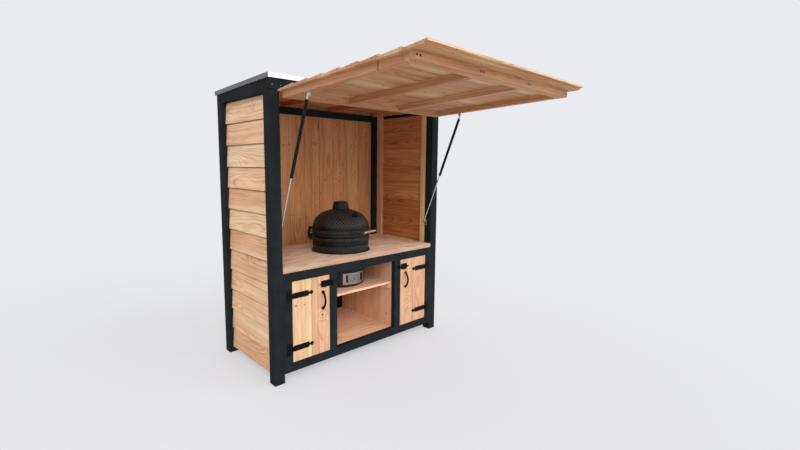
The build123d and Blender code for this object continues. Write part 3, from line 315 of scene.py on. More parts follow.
dress(douglas("douglas_fir_left_courses", (0, 1, 0), (0, 0, 1), WALL_START, COURSE, 11, OUTER_WOOD,
              SHADED_WOOD, lapped=(LAP, -WALL_BACK)), "left_cladding")
dress(douglas("douglas_fir_right_courses", (0, 1, 0), (0, 0, 1), WALL_START, COURSE, 47, OUTER_WOOD,
              SHADED_WOOD, figure=1.4, lapped=(LAP, WALL_BACK)), "right_cladding")
dress(douglas("douglas_fir_upright_battens", (0, 0, 1), (0, 1, 0), 0.0, BATTEN_CELL, 5, OUTER_WOOD, gap=0.0),
      "side_battens")
ease_edges(BOARD_ARRIS, "left_cladding", "right_cladding")

# Back wall: upright Douglas boards between the rear posts, planed both sides and screwed to the rear frame.
# Their deeper reddish tone is painted shade for the covered back of the kitchen, and small dark knots show
# all over.
BACK_BOARD = 173.5 * MM
SHADED_BACK_WOOD = ("#D59F6E", "#BF8254", "#DAAE7A")
dress(douglas("douglas_fir_back_wall", (0, 0, 1), (1, 0, 0), -4.5 * BACK_BOARD, BACK_BOARD, 23, SHADED_BACK_WOOD,
              figure=1.2, knotty=0.95), "back_boards")
ease_edges(BOARD_ARRIS, "back_boards")

# Roof: a header and joists, a boarded deck with a slight fall to the back, a sheet of roofing rubber, and a
# folded metal trim along all four edges. The side trims are embossed grey metal, the others coated white.
# Joists and deck take darker wood tones as painted shade, and the deck's upright edges take the frame's
# paint colour as painted shade under the trim.
JOIST_CELL, DECK_BOARD = 400 * MM, 152.67 * MM
RUBBER, TRIM_PLAIN, TRIM_EMBOSSED = "#2B2C2E", "#E4E6EA", "#5C5E64"
CHALK_PATCH, WEAVE = 200 * MM, 6 * MM     # the fabric print is about 1 mm; drawn coarser so that it shows
EMBOSS, DUST = 9 * MM, 33.3 * MM          # pitch of the embossed dimples, and size of the dusty spots


def open_colour(finish):
    """A finish's tree, its colour input, what feeds that input, and the three parts of the faces' normal."""
    tree = finish.node_tree
    colour_input = tree.nodes["Principled BSDF"].inputs["Base Color"]
    normal = add_node(tree, "NewGeometry").outputs["Normal"]
    facing = add_node(tree, "SeparateXYZ", {0: normal}).outputs
    return tree, colour_input, colour_input.links[0].from_socket, facing


def roofing_rubber():
    """Cured rubber sheet: dull near-black with a faint fabric print and chalky patches from the weather."""
    finish, tree, shader, place = new_finish("epdm_roofing_rubber")
    chalk = add_node(tree, "TexNoise", {"Vector": place, "Scale": 1 / CHALK_PATCH, "Detail": 5.0}).outputs[0]
    weave = add_node(tree, "TexVoronoi", {"Vector": place, "Scale": 1 / WEAVE}).outputs["Distance"]
    pale = add_node(tree, "MapRange", {0: chalk, 1: 0.35, 2: 0.75, 3: 0.9, 4: 1.5}).outputs[0]
    colour = add_node(tree, "VectorMath", {0: linear(RUBBER)[:3], "Scale": pale},
                      operation="SCALE").outputs[0]
    gloss = add_node(tree, "MapRange", {0: chalk, 1: 0.3, 2: 0.7, 3: 0.55, 4: 0.8}).outputs[0]
    coat(tree, shader, colour, gloss, weave, 0.3, 0.3 * MM)
    return finish


def trim_metal():
    """Folded aluminium: the side lengths are embossed and grey, the front and back ones coated white."""
    finish, tree, shader, place = new_finish("aluminium_roof_trim")
    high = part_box("roof_trim")[1]
    mitre = (high.x - high.y, 0.0, 0.0)
    reach = add_node(tree, "VectorMath", {0: place}, operation="ABSOLUTE").outputs[0]
    reach = add_node(tree, "VectorMath", {0: reach, 1: mitre}, operation="SUBTRACT").outputs[0]
    x, y, _ = add_node(tree, "SeparateXYZ", {0: reach}).outputs
    on_side = add_node(tree, "Math", {0: x, 1: y}, operation="GREATER_THAN").outputs[0]
    dimple = add_node(tree, "TexVoronoi", {"Vector": place, "Scale": 1 / EMBOSS},
                      feature="SMOOTH_F1").outputs["Distance"]
    dust = add_node(tree, "TexNoise", {"Vector": place, "Scale": 1 / DUST, "Detail": 6.0}).outputs[0]
    shade = add_node(tree, "MapRange", {0: dimple, 1: 0.1, 2: 0.7, 3: 0.6, 4: 1.4}).outputs[0]
    grey = add_node(tree, "VectorMath", {0: linear(TRIM_EMBOSSED)[:3], "Scale": shade},
                    operation="SCALE").outputs[0]
    colour = add_node(tree, "Mix", {0: on_side, 6: linear(TRIM_PLAIN), 7: grey}, data_type="RGBA").outputs[2]
    gloss = add_node(tree, "MapRange", {0: dust, 1: 0.3, 2: 0.7, 3: 0.38, 4: 0.6}).outputs[0]
    height = add_node(tree, "Math", {0: dimple, 1: on_side}, operation="MULTIPLY").outputs[0]
    coat(tree, shader, colour, gloss, height, 0.6, 1.0 * MM)
    return finish


dress(douglas("douglas_fir_roof_frame", (0, 1, 0), (1, 0, 0), 0.0, JOIST_CELL, 61, SHADED_WOOD, gap=0.0),
      "roof_frame")
deck = douglas("douglas_fir_roof_deck", (1, 0, 0), (0, 1, 0), -3 * DECK_BOARD, DECK_BOARD, 71, SHADED_BACK_WOOD)
tree, colour_input, bare, facing = open_colour(deck)
# Painted shade: the deck's upright edges are drawn in the frame's paint colour.
deck_edge = add_node(tree, "Math", {0: facing[2], 1: 0.0, 2: 0.5}, operation="COMPARE").outputs[0]
deck_edge_shaded = add_node(tree, "Mix", {0: deck_edge, 6: bare, 7: linear(PAINT)}, data_type="RGBA").outputs[2]
tree.links.new(deck_edge_shaded, colour_input)
dress(deck, "roof_deck")
dress(roofing_rubber(), "roof_sheet")
dress(trim_metal(), "roof_trim")

# Flap: eight lapped Douglas boards on a frame of rafters and two cross beams, hinged under the fascia and
# drawn open just above level. The boards run the whole width, and the beams cross the ends of the rafters.
FLAP_WOOD, RAFTER_WOOD = ("#D0A378", "#B98B60", "#DCC494"), ("#C89570", "#B27E56", "#D2AF84")
HINGE_LINE, OPEN = Vector((0, -468.5 * MM, 2204 * MM)), math.radians(2.2)
FLAP_COURSE, FLAP_LAP, FLAP_TOP, PIN_ABOVE_BACK = 171 * MM, 25 * MM, 36 * MM, 17 * MM
BEAM, RAFTER_CELL = 75 * MM, 539.6 * MM
up_slope = Vector((0.0, math.cos(OPEN), -math.sin(OPEN)))
flap_start = HINGE_LINE.dot(up_slope) - FLAP_TOP
flap_back = HINGE_LINE.dot(Vector((1, 0, 0)).cross(up_slope)) - PIN_ABOVE_BACK
frame_low, frame_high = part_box("flap_frame")
dress(douglas("douglas_fir_flap_courses", (1, 0, 0), up_slope, flap_start, FLAP_COURSE, 83, FLAP_WOOD,
              figure=1.5, knotty=0.5, sappy=0.6, lapped=(FLAP_LAP, flap_back)), "flap_boards")
dress(douglas("douglas_fir_flap_frame", (0, 1, 0), (1, 0, 0), 0.0, RAFTER_CELL, 97, RAFTER_WOOD, gap=0.0,
              turned=((0, 1, 0), frame_low.y + BEAM, frame_high.y - BEAM)), "flap_frame")
ease_edges(BOARD_ARRIS, "flap_boards")

# Flap hinges, door ironwork and screws: pressed and forged mild steel, powder coated black before fitting.
# The coat is slightly rough to the touch and greyer on rubbed corners. The struts' seats and brackets and
# the fascia's screws are zinc plated.
COATED, COATED_WORN, ZINC, ZINC_DULL = "#08090A", "#2E2F31", "#CDD0D2", "#7E8183"
COAT_GRAIN = 2.5 * MM        # orange peel of the coat, drawn a little coarser than real
COAT_PATCH, RUBBED_CORNER = 25 * MM, 1.5 * MM
PLATE_CLOUD = 8.33 * MM      # spacing of the clouds in the plating


def powder_coat():
    """Black powder coat: near black, satin, with a fine orange peel and greyer rubbed corners."""
    finish, tree, shader, place = new_finish("black_powder_coated_steel", specular=0.1)
    peel = add_node(tree, "TexNoise", {"Vector": place, "Scale": 1 / COAT_GRAIN, "Detail": 2.0}).outputs[0]
    patchy = add_node(tree, "TexNoise", {"Vector": place, "Scale": 1 / COAT_PATCH, "Detail": 4.0}).outputs[0]
    rounded, rubbed = rubbed_edges(tree, patchy, RUBBED_CORNER, sharp=0.98, blunt=0.75, most=0.8)
    colour = add_node(tree, "Mix", {0: rubbed, 6: linear(COATED), 7: linear(COATED_WORN)},
                      data_type="RGBA").outputs[2]
    gloss = add_node(tree, "MapRange", {0: patchy, 1: 0.3, 2: 0.7, 3: 0.32, 4: 0.5}).outputs[0]
    coat(tree, shader, colour, gloss, peel, 0.4, 0.15 * MM, rounded)
    return finish


def plated_steel(name, bright, rough):
    """Plated or brushed steel: pale metal, lightly clouded, with fine marks from turning or rolling."""
    finish, tree, shader, place = new_finish(name)
    cloud = add_node(tree, "TexNoise", {"Vector": place, "Scale": 1 / PLATE_CLOUD, "Detail": 3.0}).outputs[0]
    tint = add_node(tree, "MapRange", {0: cloud, 1: 0.3, 2: 0.7, 3: 0.82, 4: 1.05}).outputs[0]
    colour = add_node(tree, "VectorMath", {0: linear(bright)[:3], "Scale": tint},
                      operation="SCALE").outputs[0]
    gloss = add_node(tree, "MapRange", {0: cloud, 1: 0.3, 2: 0.7, 3: rough - 0.1, 4: rough + 0.1}).outputs[0]
    shader.inputs["Metallic"].default_value = 1.0
    coat(tree, shader, colour, gloss, cloud, 0.2, 0.1 * MM)
    return finish


black_coat = powder_coat()
zinc = plated_steel("zinc_plated_steel", ZINC, 0.28)
dress(black_coat, "flap_hinge_plates", "flap_hinge_straps", "door_hinge_plates", "bolt_keeps")
for hand in ("left", "right"):
    dress(black_coat, hand + "_door_straps", hand + "_door_pull", hand + "_bolt_plate", hand + "_bolt")
dress(zinc, "strut_seats", "strut_post_brackets")
dress(plated_steel("dulled_zinc_screw_heads", ZINC_DULL, 0.5), "fascia_screws")

# Flap screw caps: pairs of dark caps fill the bores in the free-end beam, two at each rafter, as painted
# shade standing in for the shadow inside the bores. Blacked iron, pressed in flush; they hide the screws
# behind them.
CAP_R, CAP_DEEP, CAP_PROUD, CAP_OFF = 6.5 * MM, 4 * MM, 0.4 * MM, 12.5 * MM
BEAM_FACE, FRAME_MID, RAFTER = 1298 * MM, 39.5 * MM, 45 * MM
STAIN, GRIT_DEEP = 55.6 * MM, 0.3 * MM


def rough_finish(name, low, high, grit, rough):
    """Matt grainy finish between two colours, for cast iron, coated bands, fire clay and felt."""
    finish, tree, shader, place = new_finish(name, specular=0.15)
    grain = add_node(tree, "TexNoise", {"Vector": place, "Scale": 1 / grit, "Detail": 5.0,
                                        "Roughness": 0.7}).outputs[0]
    stain = add_node(tree, "TexNoise", {"Vector": place, "Scale": 1 / STAIN, "Detail": 3.0}).outputs[0]
    blend = add_node(tree, "Math", {0: grain, 1: stain}, operation="MULTIPLY").outputs[0]
    blend = add_node(tree, "MapRange", {0: blend, 1: 0.12, 2: 0.42}).outputs[0]
    colour = add_node(tree, "Mix", {0: blend, 6: linear(low), 7: linear(high)}, data_type="RGBA").outputs[2]
    gloss = add_node(tree, "MapRange", {0: stain, 1: 0.3, 2: 0.7, 3: rough - 0.08,
                                        4: rough + 0.08}).outputs[0]
    coat(tree, shader, colour, gloss, grain, 0.6, GRIT_DEEP)
    return finish


def round_bar(shape, radius, length, place, sides=24, top_radius=None):
    """Adds a disc or round bar along Z to a mesh in the making, and returns its faces."""
    made = bmesh.ops.create_cone(shape, cap_ends=True, segments=sides, radius1=radius,
                                 radius2=top_radius or radius, depth=length, matrix=place)
    return {face for vertex in made["verts"] for face in vertex.link_faces}


def fit_piece(name, shape, body, finishes):
    """Makes a mesh into a piece of the kitchen: finished, shaded by its edges and riding on its body."""
    mesh = bpy.data.meshes.new(name)
    shape.to_mesh(mesh)
    shape.free()
    mesh.polygons.foreach_set("use_smooth", [True] * len(mesh.polygons))
    mesh.set_sharp_from_angle(angle=math.radians(30))
    for finish in finishes:
        mesh.materials.append(finish)
    piece = bpy.data.objects.new(name, mesh)
    bpy.context.scene.collection.objects.link(piece)
    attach(piece, body)
    return piece


cast_iron = rough_finish("blacked_cast_iron", "#121213", "#232427", 2 * MM, 0.55)
rafter_out = frame_high.x - RAFTER / 2
flap_normal = Vector((0.0, math.sin(OPEN), math.cos(OPEN)))
facing_out = up_slope.to_track_quat("Z", "X").to_matrix().to_4x4()
# Painted shade: dark caps stand in for the shadow inside the screw bores.
caps = bmesh.new()
for rafter in (-1, -1 / 3, 1 / 3, 1):
    for pair in (-1, 1):
        at = HINGE_LINE - flap_normal * FRAME_MID - up_slope * (BEAM_FACE + CAP_PROUD - CAP_DEEP / 2)
        at.x = rafter * rafter_out + pair * CAP_OFF
        round_bar(caps, CAP_R, CAP_DEEP, Matrix.Translation(at) @ facing_out)
bore_shade_caps = fit_piece("flap_bore_shade_caps", caps, "flap", (cast_iron,))
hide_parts("flap_screws")

# Gas struts: a black enamelled tube with a zinc plated eye hangs under the outer rafter. The plated rod
# slides in it and turns on a stud at the post.
TUBE, TUBE_SCUFFED, EYE_ZINC = "#060708", "#111213", "#C9CCCE"
EYE_LENGTH, SCUFF = 38 * MM, 16.7 * MM
STRUT_PIN = Vector((818 * MM, -793.7 * MM, 2140.4 * MM))


def strut_tube(name, pin):
    """Gloss black stove enamel on the tube; the eye above it is zinc plated."""
    finish, tree, shader, place = new_finish(name, specular=0.15)
    away = add_node(tree, "VectorMath", {0: place, 1: pin}, operation="DISTANCE").outputs["Value"]
    bright = add_node(tree, "Math", {0: away, 1: EYE_LENGTH}, operation="LESS_THAN").outputs[0]
    scuff = add_node(tree, "TexNoise", {"Vector": place, "Scale": 1 / SCUFF, "Detail": 5.0}).outputs[0]
    tube = add_node(tree, "Mix", {0: scuff, 6: linear(TUBE), 7: linear(TUBE_SCUFFED)},
                    data_type="RGBA").outputs[2]
    colour = add_node(tree, "Mix", {0: bright, 6: tube, 7: linear(EYE_ZINC)}, data_type="RGBA").outputs[2]
    gloss = add_node(tree, "MapRange", {0: scuff, 1: 0.3, 2: 0.7, 3: 0.22, 4: 0.4}).outputs[0]
    coat(tree, shader, colour, gloss, scuff, 0.15, 0.1 * MM)
    tree.links.new(bright, shader.inputs["Metallic"])
    return finish


for hand, side in (("left", -1), ("right", 1)):
    pin = (side * STRUT_PIN.x, STRUT_PIN.y, STRUT_PIN.z)
    dress(strut_tube("enamelled_strut_tube_" + hand, pin), hand + "_strut_barrel")
    dress(zinc, hand + "_strut_rod")

# Cabinet: floor boards on bearers, two partitions of upright boards, and a shelf of boards that carries the
# grill. Planed Douglas as on the walls; the floor, shelf and bearers take paler tones, painted light that
# lifts them in the shade of the worktop.
LIT_BAY_WOOD, SIDE_BAY_WOOD = ("#F4D2B4", "#EAB896", "#F6DDBE"), ("#E3B89A", "#D5A07E", "#E6C3A0")
CABINET_FRONT, SHELF_FRONT = -405 * MM, -386 * MM
FLOOR_BOARD, PARTITION_BOARD, SHELF_BOARD, BEARER_CELL = 154 * MM, 154 * MM, 150.2 * MM, 400 * MM
dress(douglas("douglas_fir_floor", (1, 0, 0), (0, 1, 0), CABINET_FRONT, FLOOR_BOARD, 31, LIT_BAY_WOOD,
              figure=0.9, knotty=0.7, gap=0.3), "cabinet_floor")
dress(douglas("douglas_fir_partitions", (0, 0, 1), (0, 1, 0), CABINET_FRONT, PARTITION_BOARD, 37,
              SIDE_BAY_WOOD, figure=0.5, gap=0.1), "bay_partitions")
dress(douglas("douglas_fir_shelf", (1, 0, 0), (0, 1, 0), SHELF_FRONT, SHELF_BOARD, 43, LIT_BAY_WOOD),
      "grill_shelf")
dress(douglas("douglas_fir_bearers", (0, 1, 0), (1, 0, 0), 0.0, BEARER_CELL, 53, LIT_BAY_WOOD, gap=0.0),
      "worktop_bearers")

# Worktop: six Douglas planks along the kitchen, laid on the bearers with eased arrises. They are the palest
# timber of the kitchen, pale wood lifted further as painted light in the flap's shade, and the front edge is
# darkened as painted shade.
LIT_WORKTOP_WOOD, WORKTOP_EDGE_SHADE = ("#FAE2CC", "#F3D0B6", "#FBE9D2"), "#C6BDB2"
WORKTOP_FRONT, PLANK = -450 * MM, 135.83 * MM
worktop = douglas("douglas_fir_worktop", (1, 0, 0), (0, 1, 0), WORKTOP_FRONT, PLANK, 59, LIT_WORKTOP_WOOD,
                  figure=1.5, knotty=0.7)
tree, colour_input, worktop_colour, facing = open_colour(worktop)
# Painted shade: faces turned to the front are darkened.
front_edge = add_node(tree, "MapRange", {0: facing[1], 1: -0.3, 2: -0.9}).outputs[0]
edge_shaded = add_node(tree, "Mix", {0: front_edge, 6: worktop_colour, 7: linear(WORKTOP_EDGE_SHADE)}, data_type="RGBA",
                   blend_type="MULTIPLY").outputs[2]
tree.links.new(edge_shaded, colour_input)
dress(worktop, "worktop_planks")
ease_edges(BOARD_ARRIS, "worktop_planks")

# Doors: two upright boards each, clenched to two ledges behind, hung on the strap hinges.
# The left door's outer board is cream sapwood with faint rings; the other boards are pinkish heartwood.
LEFT_DOOR_WOOD, RIGHT_DOOR_WOOD = ("#E1C097", "#CC9A7D", "#E6D09E"), ("#D6AA8A", "#C89677", "#DAB78F")
LEFT_DOOR_EDGE, RIGHT_DOOR_EDGE, DOOR_BOARD = -760 * MM, 411 * MM, 174.5 * MM
for hand, start, seed, tones, sappy in (("left", LEFT_DOOR_EDGE, 3, LEFT_DOOR_WOOD, 0.7),
                                        ("right", RIGHT_DOOR_EDGE, 22, RIGHT_DOOR_WOOD, 0.3)):
    dress(douglas("douglas_fir_door_" + hand, (0, 0, 1), (1, 0, 0), start, DOOR_BOARD, seed, tones,
                  knotty=0.5, sappy=sappy, gap=0.3), hand + "_door")

# Door ironwork at its full weight: each strap is one bar of even width with a neck and a round tip, the bolt
# sits on a broad plate, and the bow of the pull is thick in the hand. Same black coat as on the hinges.
STRAP_WIDTH, STRAP_FROM, STRAP_TO, TIP_AT, TIP_R = 44 * MM, 8 * MM, 146 * MM, 171.5 * MM, 15.5 * MM
NECK, IRON, PLATE_HEIGHT, BOW_EXTRA = 16 * MM, 3.5 * MM, 54 * MM, 3 * MM
HINGE_LOW, HINGE_HIGH = 108 * MM, 111 * MM


def bar(shape, size, place):
    """Adds a box of that size to a mesh in the making, and returns its faces."""
    made = bmesh.ops.create_cube(shape, size=1.0, matrix=place @ Matrix.Diagonal((*size, 1.0)))
    return {face for vertex in made["verts"] for face in vertex.link_faces}


lying = Matrix.Rotation(math.pi / 2, 4, "X")
for hand, inward in (("left", 1), ("right", -1)):
    low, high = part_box(hand + "_door")
    hung, on_door = low.x if inward > 0 else high.x, low.y - IRON / 2
    iron = bmesh.new()
    for height in (low.z + HINGE_LOW, high.z - HINGE_HIGH):
        for begin, end, width in ((STRAP_FROM, STRAP_TO, STRAP_WIDTH), (STRAP_TO, TIP_AT, NECK)):
            middle = (hung + inward * (begin + end) / 2, on_door, height)
            bar(iron, (end - begin, IRON, width), Matrix.Translation(middle))
        tip = Matrix.Translation((hung + inward * TIP_AT, on_door, height)) @ lying
        round_bar(iron, TIP_R, IRON, tip, sides=40)
    plate_low, plate_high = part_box(hand + "_bolt_plate")
    middle = (plate_low + plate_high) / 2
    bar(iron, (plate_high.x - plate_low.x, IRON, PLATE_HEIGHT),
        Matrix.Translation((middle.x, on_door, middle.z)))
    fit_piece(hand + "_door_iron", iron, hand + "_door", (black_coat,))
    join_faces(hand + "_door_pull")
    bow = nodes[hand + "_door_pull"].modifiers.new("thick_bow", "DISPLACE")
    bow.mid_level = 0.0
    bow.strength = BOW_EXTRA

# Kamado shell: slip-cast ceramic base and lid under a charcoal glaze, dimpled by the mould except round the
# joint, where smooth courses are parted by dark lines: painted shade over the base's one real groove, and
# painted shadow lines at the bands' edges and the lid's joint. It stands on the shelf and is let into the
# worktop.
# The paler glaze colour is a painted highlight, drawn on the dimples' rims.
GLAZE, GLAZE_HIGHLIGHT, GROOVE_SHADE = "#050505", "#373431", "#020202"
DIMPLE = 23 * MM             # dimples are 8 to 10 mm on the real shell; drawn coarser so that they show
GLAZE_CLOUD = 71.4 * MM
KAMADO, SHELL_R = Vector((-27 * MM, -98 * MM, 0.0)), 250 * MM
COURSES_LOW, SMOOTH_TO, COURSES_HIGH = 950 * MM, 1135 * MM, 1150 * MM
# Dark lines of painted shade: the lowest over the base's real groove, the others shadow lines at the bands'
# edges and the lid's joint.
GROOVE_AND_SHADOW_LINES = ((963 * MM, 977 * MM), (996 * MM, 1009 * MM), (1034 * MM, 1047 * MM), (1101 * MM, 1114 * MM))


def dimpled_glaze():
    """Charcoal glaze over dimples from the mould: painted highlights on the dimples' rims, and painted shade
    in the groove and the shadow lines between the courses.
    """
    finish, tree, shader, place = new_finish("charcoal_dimpled_ceramic_glaze", specular=0.2)
    from_axis = add_node(tree, "VectorMath", {0: place, 1: KAMADO}, operation="SUBTRACT").outputs[0]
    aside, behind, height = add_node(tree, "SeparateXYZ", {0: from_axis}).outputs

    # Courses by height: green is dimpled, red is a dark line of painted shade (the groove and the shadow
    # lines), black is smooth
    up = add_node(tree, "MapRange", {0: height, 1: COURSES_LOW, 2: COURSES_HIGH}).outputs[0]
    courses = add_node(tree, "ValToRGB", {0: up})
    ramp, span = courses.color_ramp, COURSES_HIGH - COURSES_LOW
    ramp.interpolation = "CONSTANT"
    ramp.elements[0].color = (0, 1, 0, 1)
    ramp.elements[1].position = (SMOOTH_TO - COURSES_LOW) / span
    ramp.elements[1].color = (0, 1, 0, 1)
    for low, high in GROOVE_AND_SHADOW_LINES:
        for edge, colour in ((low, (1, 0, 0, 1)), (high, (0, 0, 0, 1))):
            ramp.elements.new((edge - COURSES_LOW) / span).color = colour
    groove_and_shadow_line, dimpled, _ = add_node(tree, "SeparateColor", {0: courses.outputs[0]}).outputs

    # Dimples lie on a slanting grid, on the shell unrolled round its axis
    round_it = add_node(tree, "Math", {0: aside, 1: behind}, operation="ARCTAN2").outputs[0]
    round_it = add_node(tree, "Math", {0: round_it, 1: SHELL_R}, operation="MULTIPLY").outputs[0]
    unrolled = add_node(tree, "CombineXYZ", {0: round_it, 1: height}).outputs[0]
    slanted = add_node(tree, "VectorRotate", {"Vector": unrolled, "Angle": math.pi / 4},
                       rotation_type="Z_AXIS").outputs[0]
    pit = add_node(tree, "TexVoronoi", {"Vector": slanted, "Scale": 1 / DIMPLE, "Randomness": 0.12},
                   voronoi_dimensions="2D").outputs["Distance"]
    # Painted highlight: the dimples' rims are drawn paler, mixed with clouds in the glaze.
    rim = add_node(tree, "MapRange", {0: pit, 1: 0.30, 2: 0.50}).outputs[0]
    rim = add_node(tree, "Math", {0: rim, 1: dimpled}, operation="MULTIPLY").outputs[0]
    cloud = add_node(tree, "TexNoise", {"Vector": place, "Scale": 1 / GLAZE_CLOUD, "Detail": 4.0}).outputs[0]
    pale = add_node(tree, "Math", {0: rim, 1: 1.3, 2: cloud}, operation="MULTIPLY_ADD").outputs[0]
    pale = add_node(tree, "MapRange", {0: pale, 1: 0.30, 2: 1.8}).outputs[0]
    colour = add_node(tree, "Mix", {0: pale, 6: linear(GLAZE), 7: linear(GLAZE_HIGHLIGHT)},
                      data_type="RGBA").outputs[2]
    # Painted shade: the groove and the shadow lines are drawn near black.
    colour = add_node(tree, "Mix", {0: groove_and_shadow_line, 6: colour, 7: linear(GROOVE_SHADE)},
                      data_type="RGBA").outputs[2]
    gloss = add_node(tree, "MapRange", {0: cloud, 1: 0.3, 2: 0.7, 3: 0.46, 4: 0.62}).outputs[0]
    relief = add_node(tree, "Math", {0: groove_and_shadow_line, 1: -2.0, 2: rim}, operation="MULTIPLY_ADD").outputs[0]
    coat(tree, shader, colour, gloss, relief, 0.8, 1.2 * MM)
    return finish


dress(dimpled_glaze(), "kamado_base", "kamado_lid")

# Kamado fittings: coated steel bands hold the hinge and the grip; the vent is cast iron, the fire bowl and
# ring are bare fire clay, the grid and grate iron. A felt ring seals the lid; the grip is turned hardwood.
GRIP_WOOD = ("#B08573", "#9A6B58", "#B7907C")
LID_TURN, GRIP_LOW, GRIP_CELL = math.radians(16), 1000 * MM, 200 * MM
band_coat = rough_finish("charcoal_coated_band_steel", "#1C1D1D", "#303130", 3 * MM, 0.42)
dress(band_coat, "base_band", "lid_band", "kamado_trim_ring")
dress(cast_iron, "vent_collar", "vent_disc", "charcoal_grate", "cooking_grid")
gauge_enamel = rough_finish("black_enamelled_gauge_case", "#08090B", "#121317", 2 * MM, 0.28)
dress(gauge_enamel, "lid_gauge")
dress(rough_finish("bare_fire_clay", "#8E7B66", "#C2AE93", 2 * MM, 0.85), "fire_bowl", "fire_ring")
dress(rough_finish("grey_felt_seal", "#3B3B39", "#5C5A55", 1.5 * MM, 0.95), "lid_felt")
dress(zinc, "hinge_bolts", "lid_grip_brackets")
grip_along = (math.cos(LID_TURN), math.sin(LID_TURN), 0)
dress(douglas("oiled_hardwood_grip", grip_along, (0, 0, 1), GRIP_LOW, GRIP_CELL, 7, GRIP_WOOD, knotty=0.0),
      "lid_grip")

# Lid gauge dial: a printed disc behind the bezel, with a ring of plain marks and one pointer on a hub.
# The disc is black enamel; marks and pointer are pale.
SHOULDER, SHOULDER_R = Vector((0, -107 * MM, 1100 * MM)), 155 * MM
GAUGE_TURN, GAUGE_TILT = math.radians(4), math.radians(57)
DIAL_FLOOR, DIAL_R, DIAL_THICK = 14.4 * MM, 26.4 * MM, 0.5 * MM
DIAL_MARKS, DIAL_SWEEP, MARKS_R = 25, math.radians(270), 24.5 * MM
LONG_MARK, SHORT_MARK = (1.3 * MM, 6.5 * MM, 0.3 * MM), (0.8 * MM, 3.5 * MM, 0.3 * MM)
POINTER, POINTER_TURN, POINTER_OUT = (1.4 * MM, 24 * MM, 0.5 * MM), math.radians(118), 7 * MM
HUB_R, HUB_TOP_R, HUB_TALL = 3 * MM, 2.4 * MM, 1.4 * MM
MARK_RISE, POINTER_RISE = 0.35 * MM, 0.9 * MM
gauge_out = Vector((0, -math.cos(GAUGE_TILT), math.sin(GAUGE_TILT)))
gauge_up = gauge_out.cross(Vector((1, 0, 0)))
gauge_axes = Matrix((Vector((1, 0, 0)), gauge_up, gauge_out)).transposed().to_4x4()
gauge_place = (Matrix.Translation(KAMADO) @ Matrix.Rotation(GAUGE_TURN, 4, "Z")
               @ Matrix.Translation(SHOULDER + gauge_out * SHOULDER_R) @ gauge_axes)
dial = bmesh.new()
round_bar(dial, DIAL_R, DIAL_THICK, gauge_place @ Matrix.Translation((0, 0, DIAL_FLOOR)), sides=64)
printed = set()
for mark in range(DIAL_MARKS):
    size = SHORT_MARK if mark % 4 else LONG_MARK
    turn = Matrix.Rotation(DIAL_SWEEP * (0.5 - mark / (DIAL_MARKS - 1)), 4, "Z")
    reach = Matrix.Translation((0, MARKS_R - size[1] / 2, DIAL_FLOOR + MARK_RISE))
    printed |= bar(dial, size, gauge_place @ turn @ reach)
pointer_place = (Matrix.Rotation(POINTER_TURN, 4, "Z")
                 @ Matrix.Translation((0, POINTER_OUT, DIAL_FLOOR + POINTER_RISE)))
printed |= bar(dial, POINTER, gauge_place @ pointer_place)
for face in printed:
    face.material_index = 1
hub_place = gauge_place @ Matrix.Translation((0, 0, DIAL_FLOOR + POINTER_RISE))
round_bar(dial, HUB_R, HUB_TALL, hub_place, top_radius=HUB_TOP_R)
dial_print = rough_finish("pale_printed_dial_marks", "#6E6A62", "#8A867D", 1 * MM, 0.6)
fit_piece("gauge_dial", dial, "lid", (gauge_enamel, dial_print))

# Lid band clamp: the band's two ends are turned out as ears, drawn together by one bolt beside the grip.
# Same coated steel as the band, with a blacked bolt.
EAR, EAR_GAP, EAR_SUNK, CLAMP_TURN = (3 * MM, 13 * MM, 27 * MM), 9 * MM, 1.5 * MM, math.radians(-29)
BAND_R, BAND_MID = 266.2 * MM, 1088.5 * MM
BOLT_R, NUT_R, NUT_LONG, NUT_OFF, BOLT_FORWARD = 2.5 * MM, 5 * MM, 4 * MM, 9.5 * MM, 1 * MM
clamp_place = (Matrix.Translation(KAMADO) @ Matrix.Rotation(LID_TURN + CLAMP_TURN, 4, "Z")
               @ Matrix.Translation((0, -BAND_R - EAR[1] / 2 + EAR_SUNK, BAND_MID)))
clamp = bmesh.new()
for side in (-1, 1):
    bar(clamp, EAR, clamp_place @ Matrix.Translation((side * (EAR_GAP + EAR[0]) / 2, 0, 0)))
bolt_faces = set()
for radius, length, off, sides in ((BOLT_R, EAR_GAP + 4 * EAR[0], 0.0, 20), (NUT_R, NUT_LONG, NUT_OFF, 6),
                                   (NUT_R, NUT_LONG, -NUT_OFF, 6)):
    bolt_place = Matrix.Translation((off, -BOLT_FORWARD, 0)) @ Matrix.Rotation(math.pi / 2, 4, "Y")
    bolt_faces |= round_bar(clamp, radius, length, clamp_place @ bolt_place, sides)
for face in bolt_faces:
    face.material_index = 1
fit_piece("lid_band_clamp", clamp, "lid", (band_coat, cast_iron))

# Draft door: a curved steel sheet punched with rows of round holes, sliding between the rails of its frame
# on the base. It has a plain rim and a finger tab; both are brushed stainless, browned a little by heat.
STAINLESS = "#A79A94"
DRAFT_R, DRAFT_SHEET, DRAFT_LOW, DRAFT_HIGH = 221.3 * MM, 2.4 * MM, 620.6 * MM, 711.4 * MM
DRAFT_FROM, DRAFT_TO, RIM = math.radians(-20), math.radians(14), 7 * MM
HOLE_R, HOLE_SIDES, HOLES_ACROSS, HOLES_UP = 3.0 * MM, 8, 13, 9
TAB_FROM, TAB_TO, TAB_OUT = math.radians(-4.5), math.radians(-1.5), 10 * MM
TAB_LOW, TAB_HIGH = 657 * MM, 675 * MM
draft_steel = plated_steel("brushed_stainless_draft_door", STAINLESS, 0.42)
dress(draft_steel, "draft_frame")


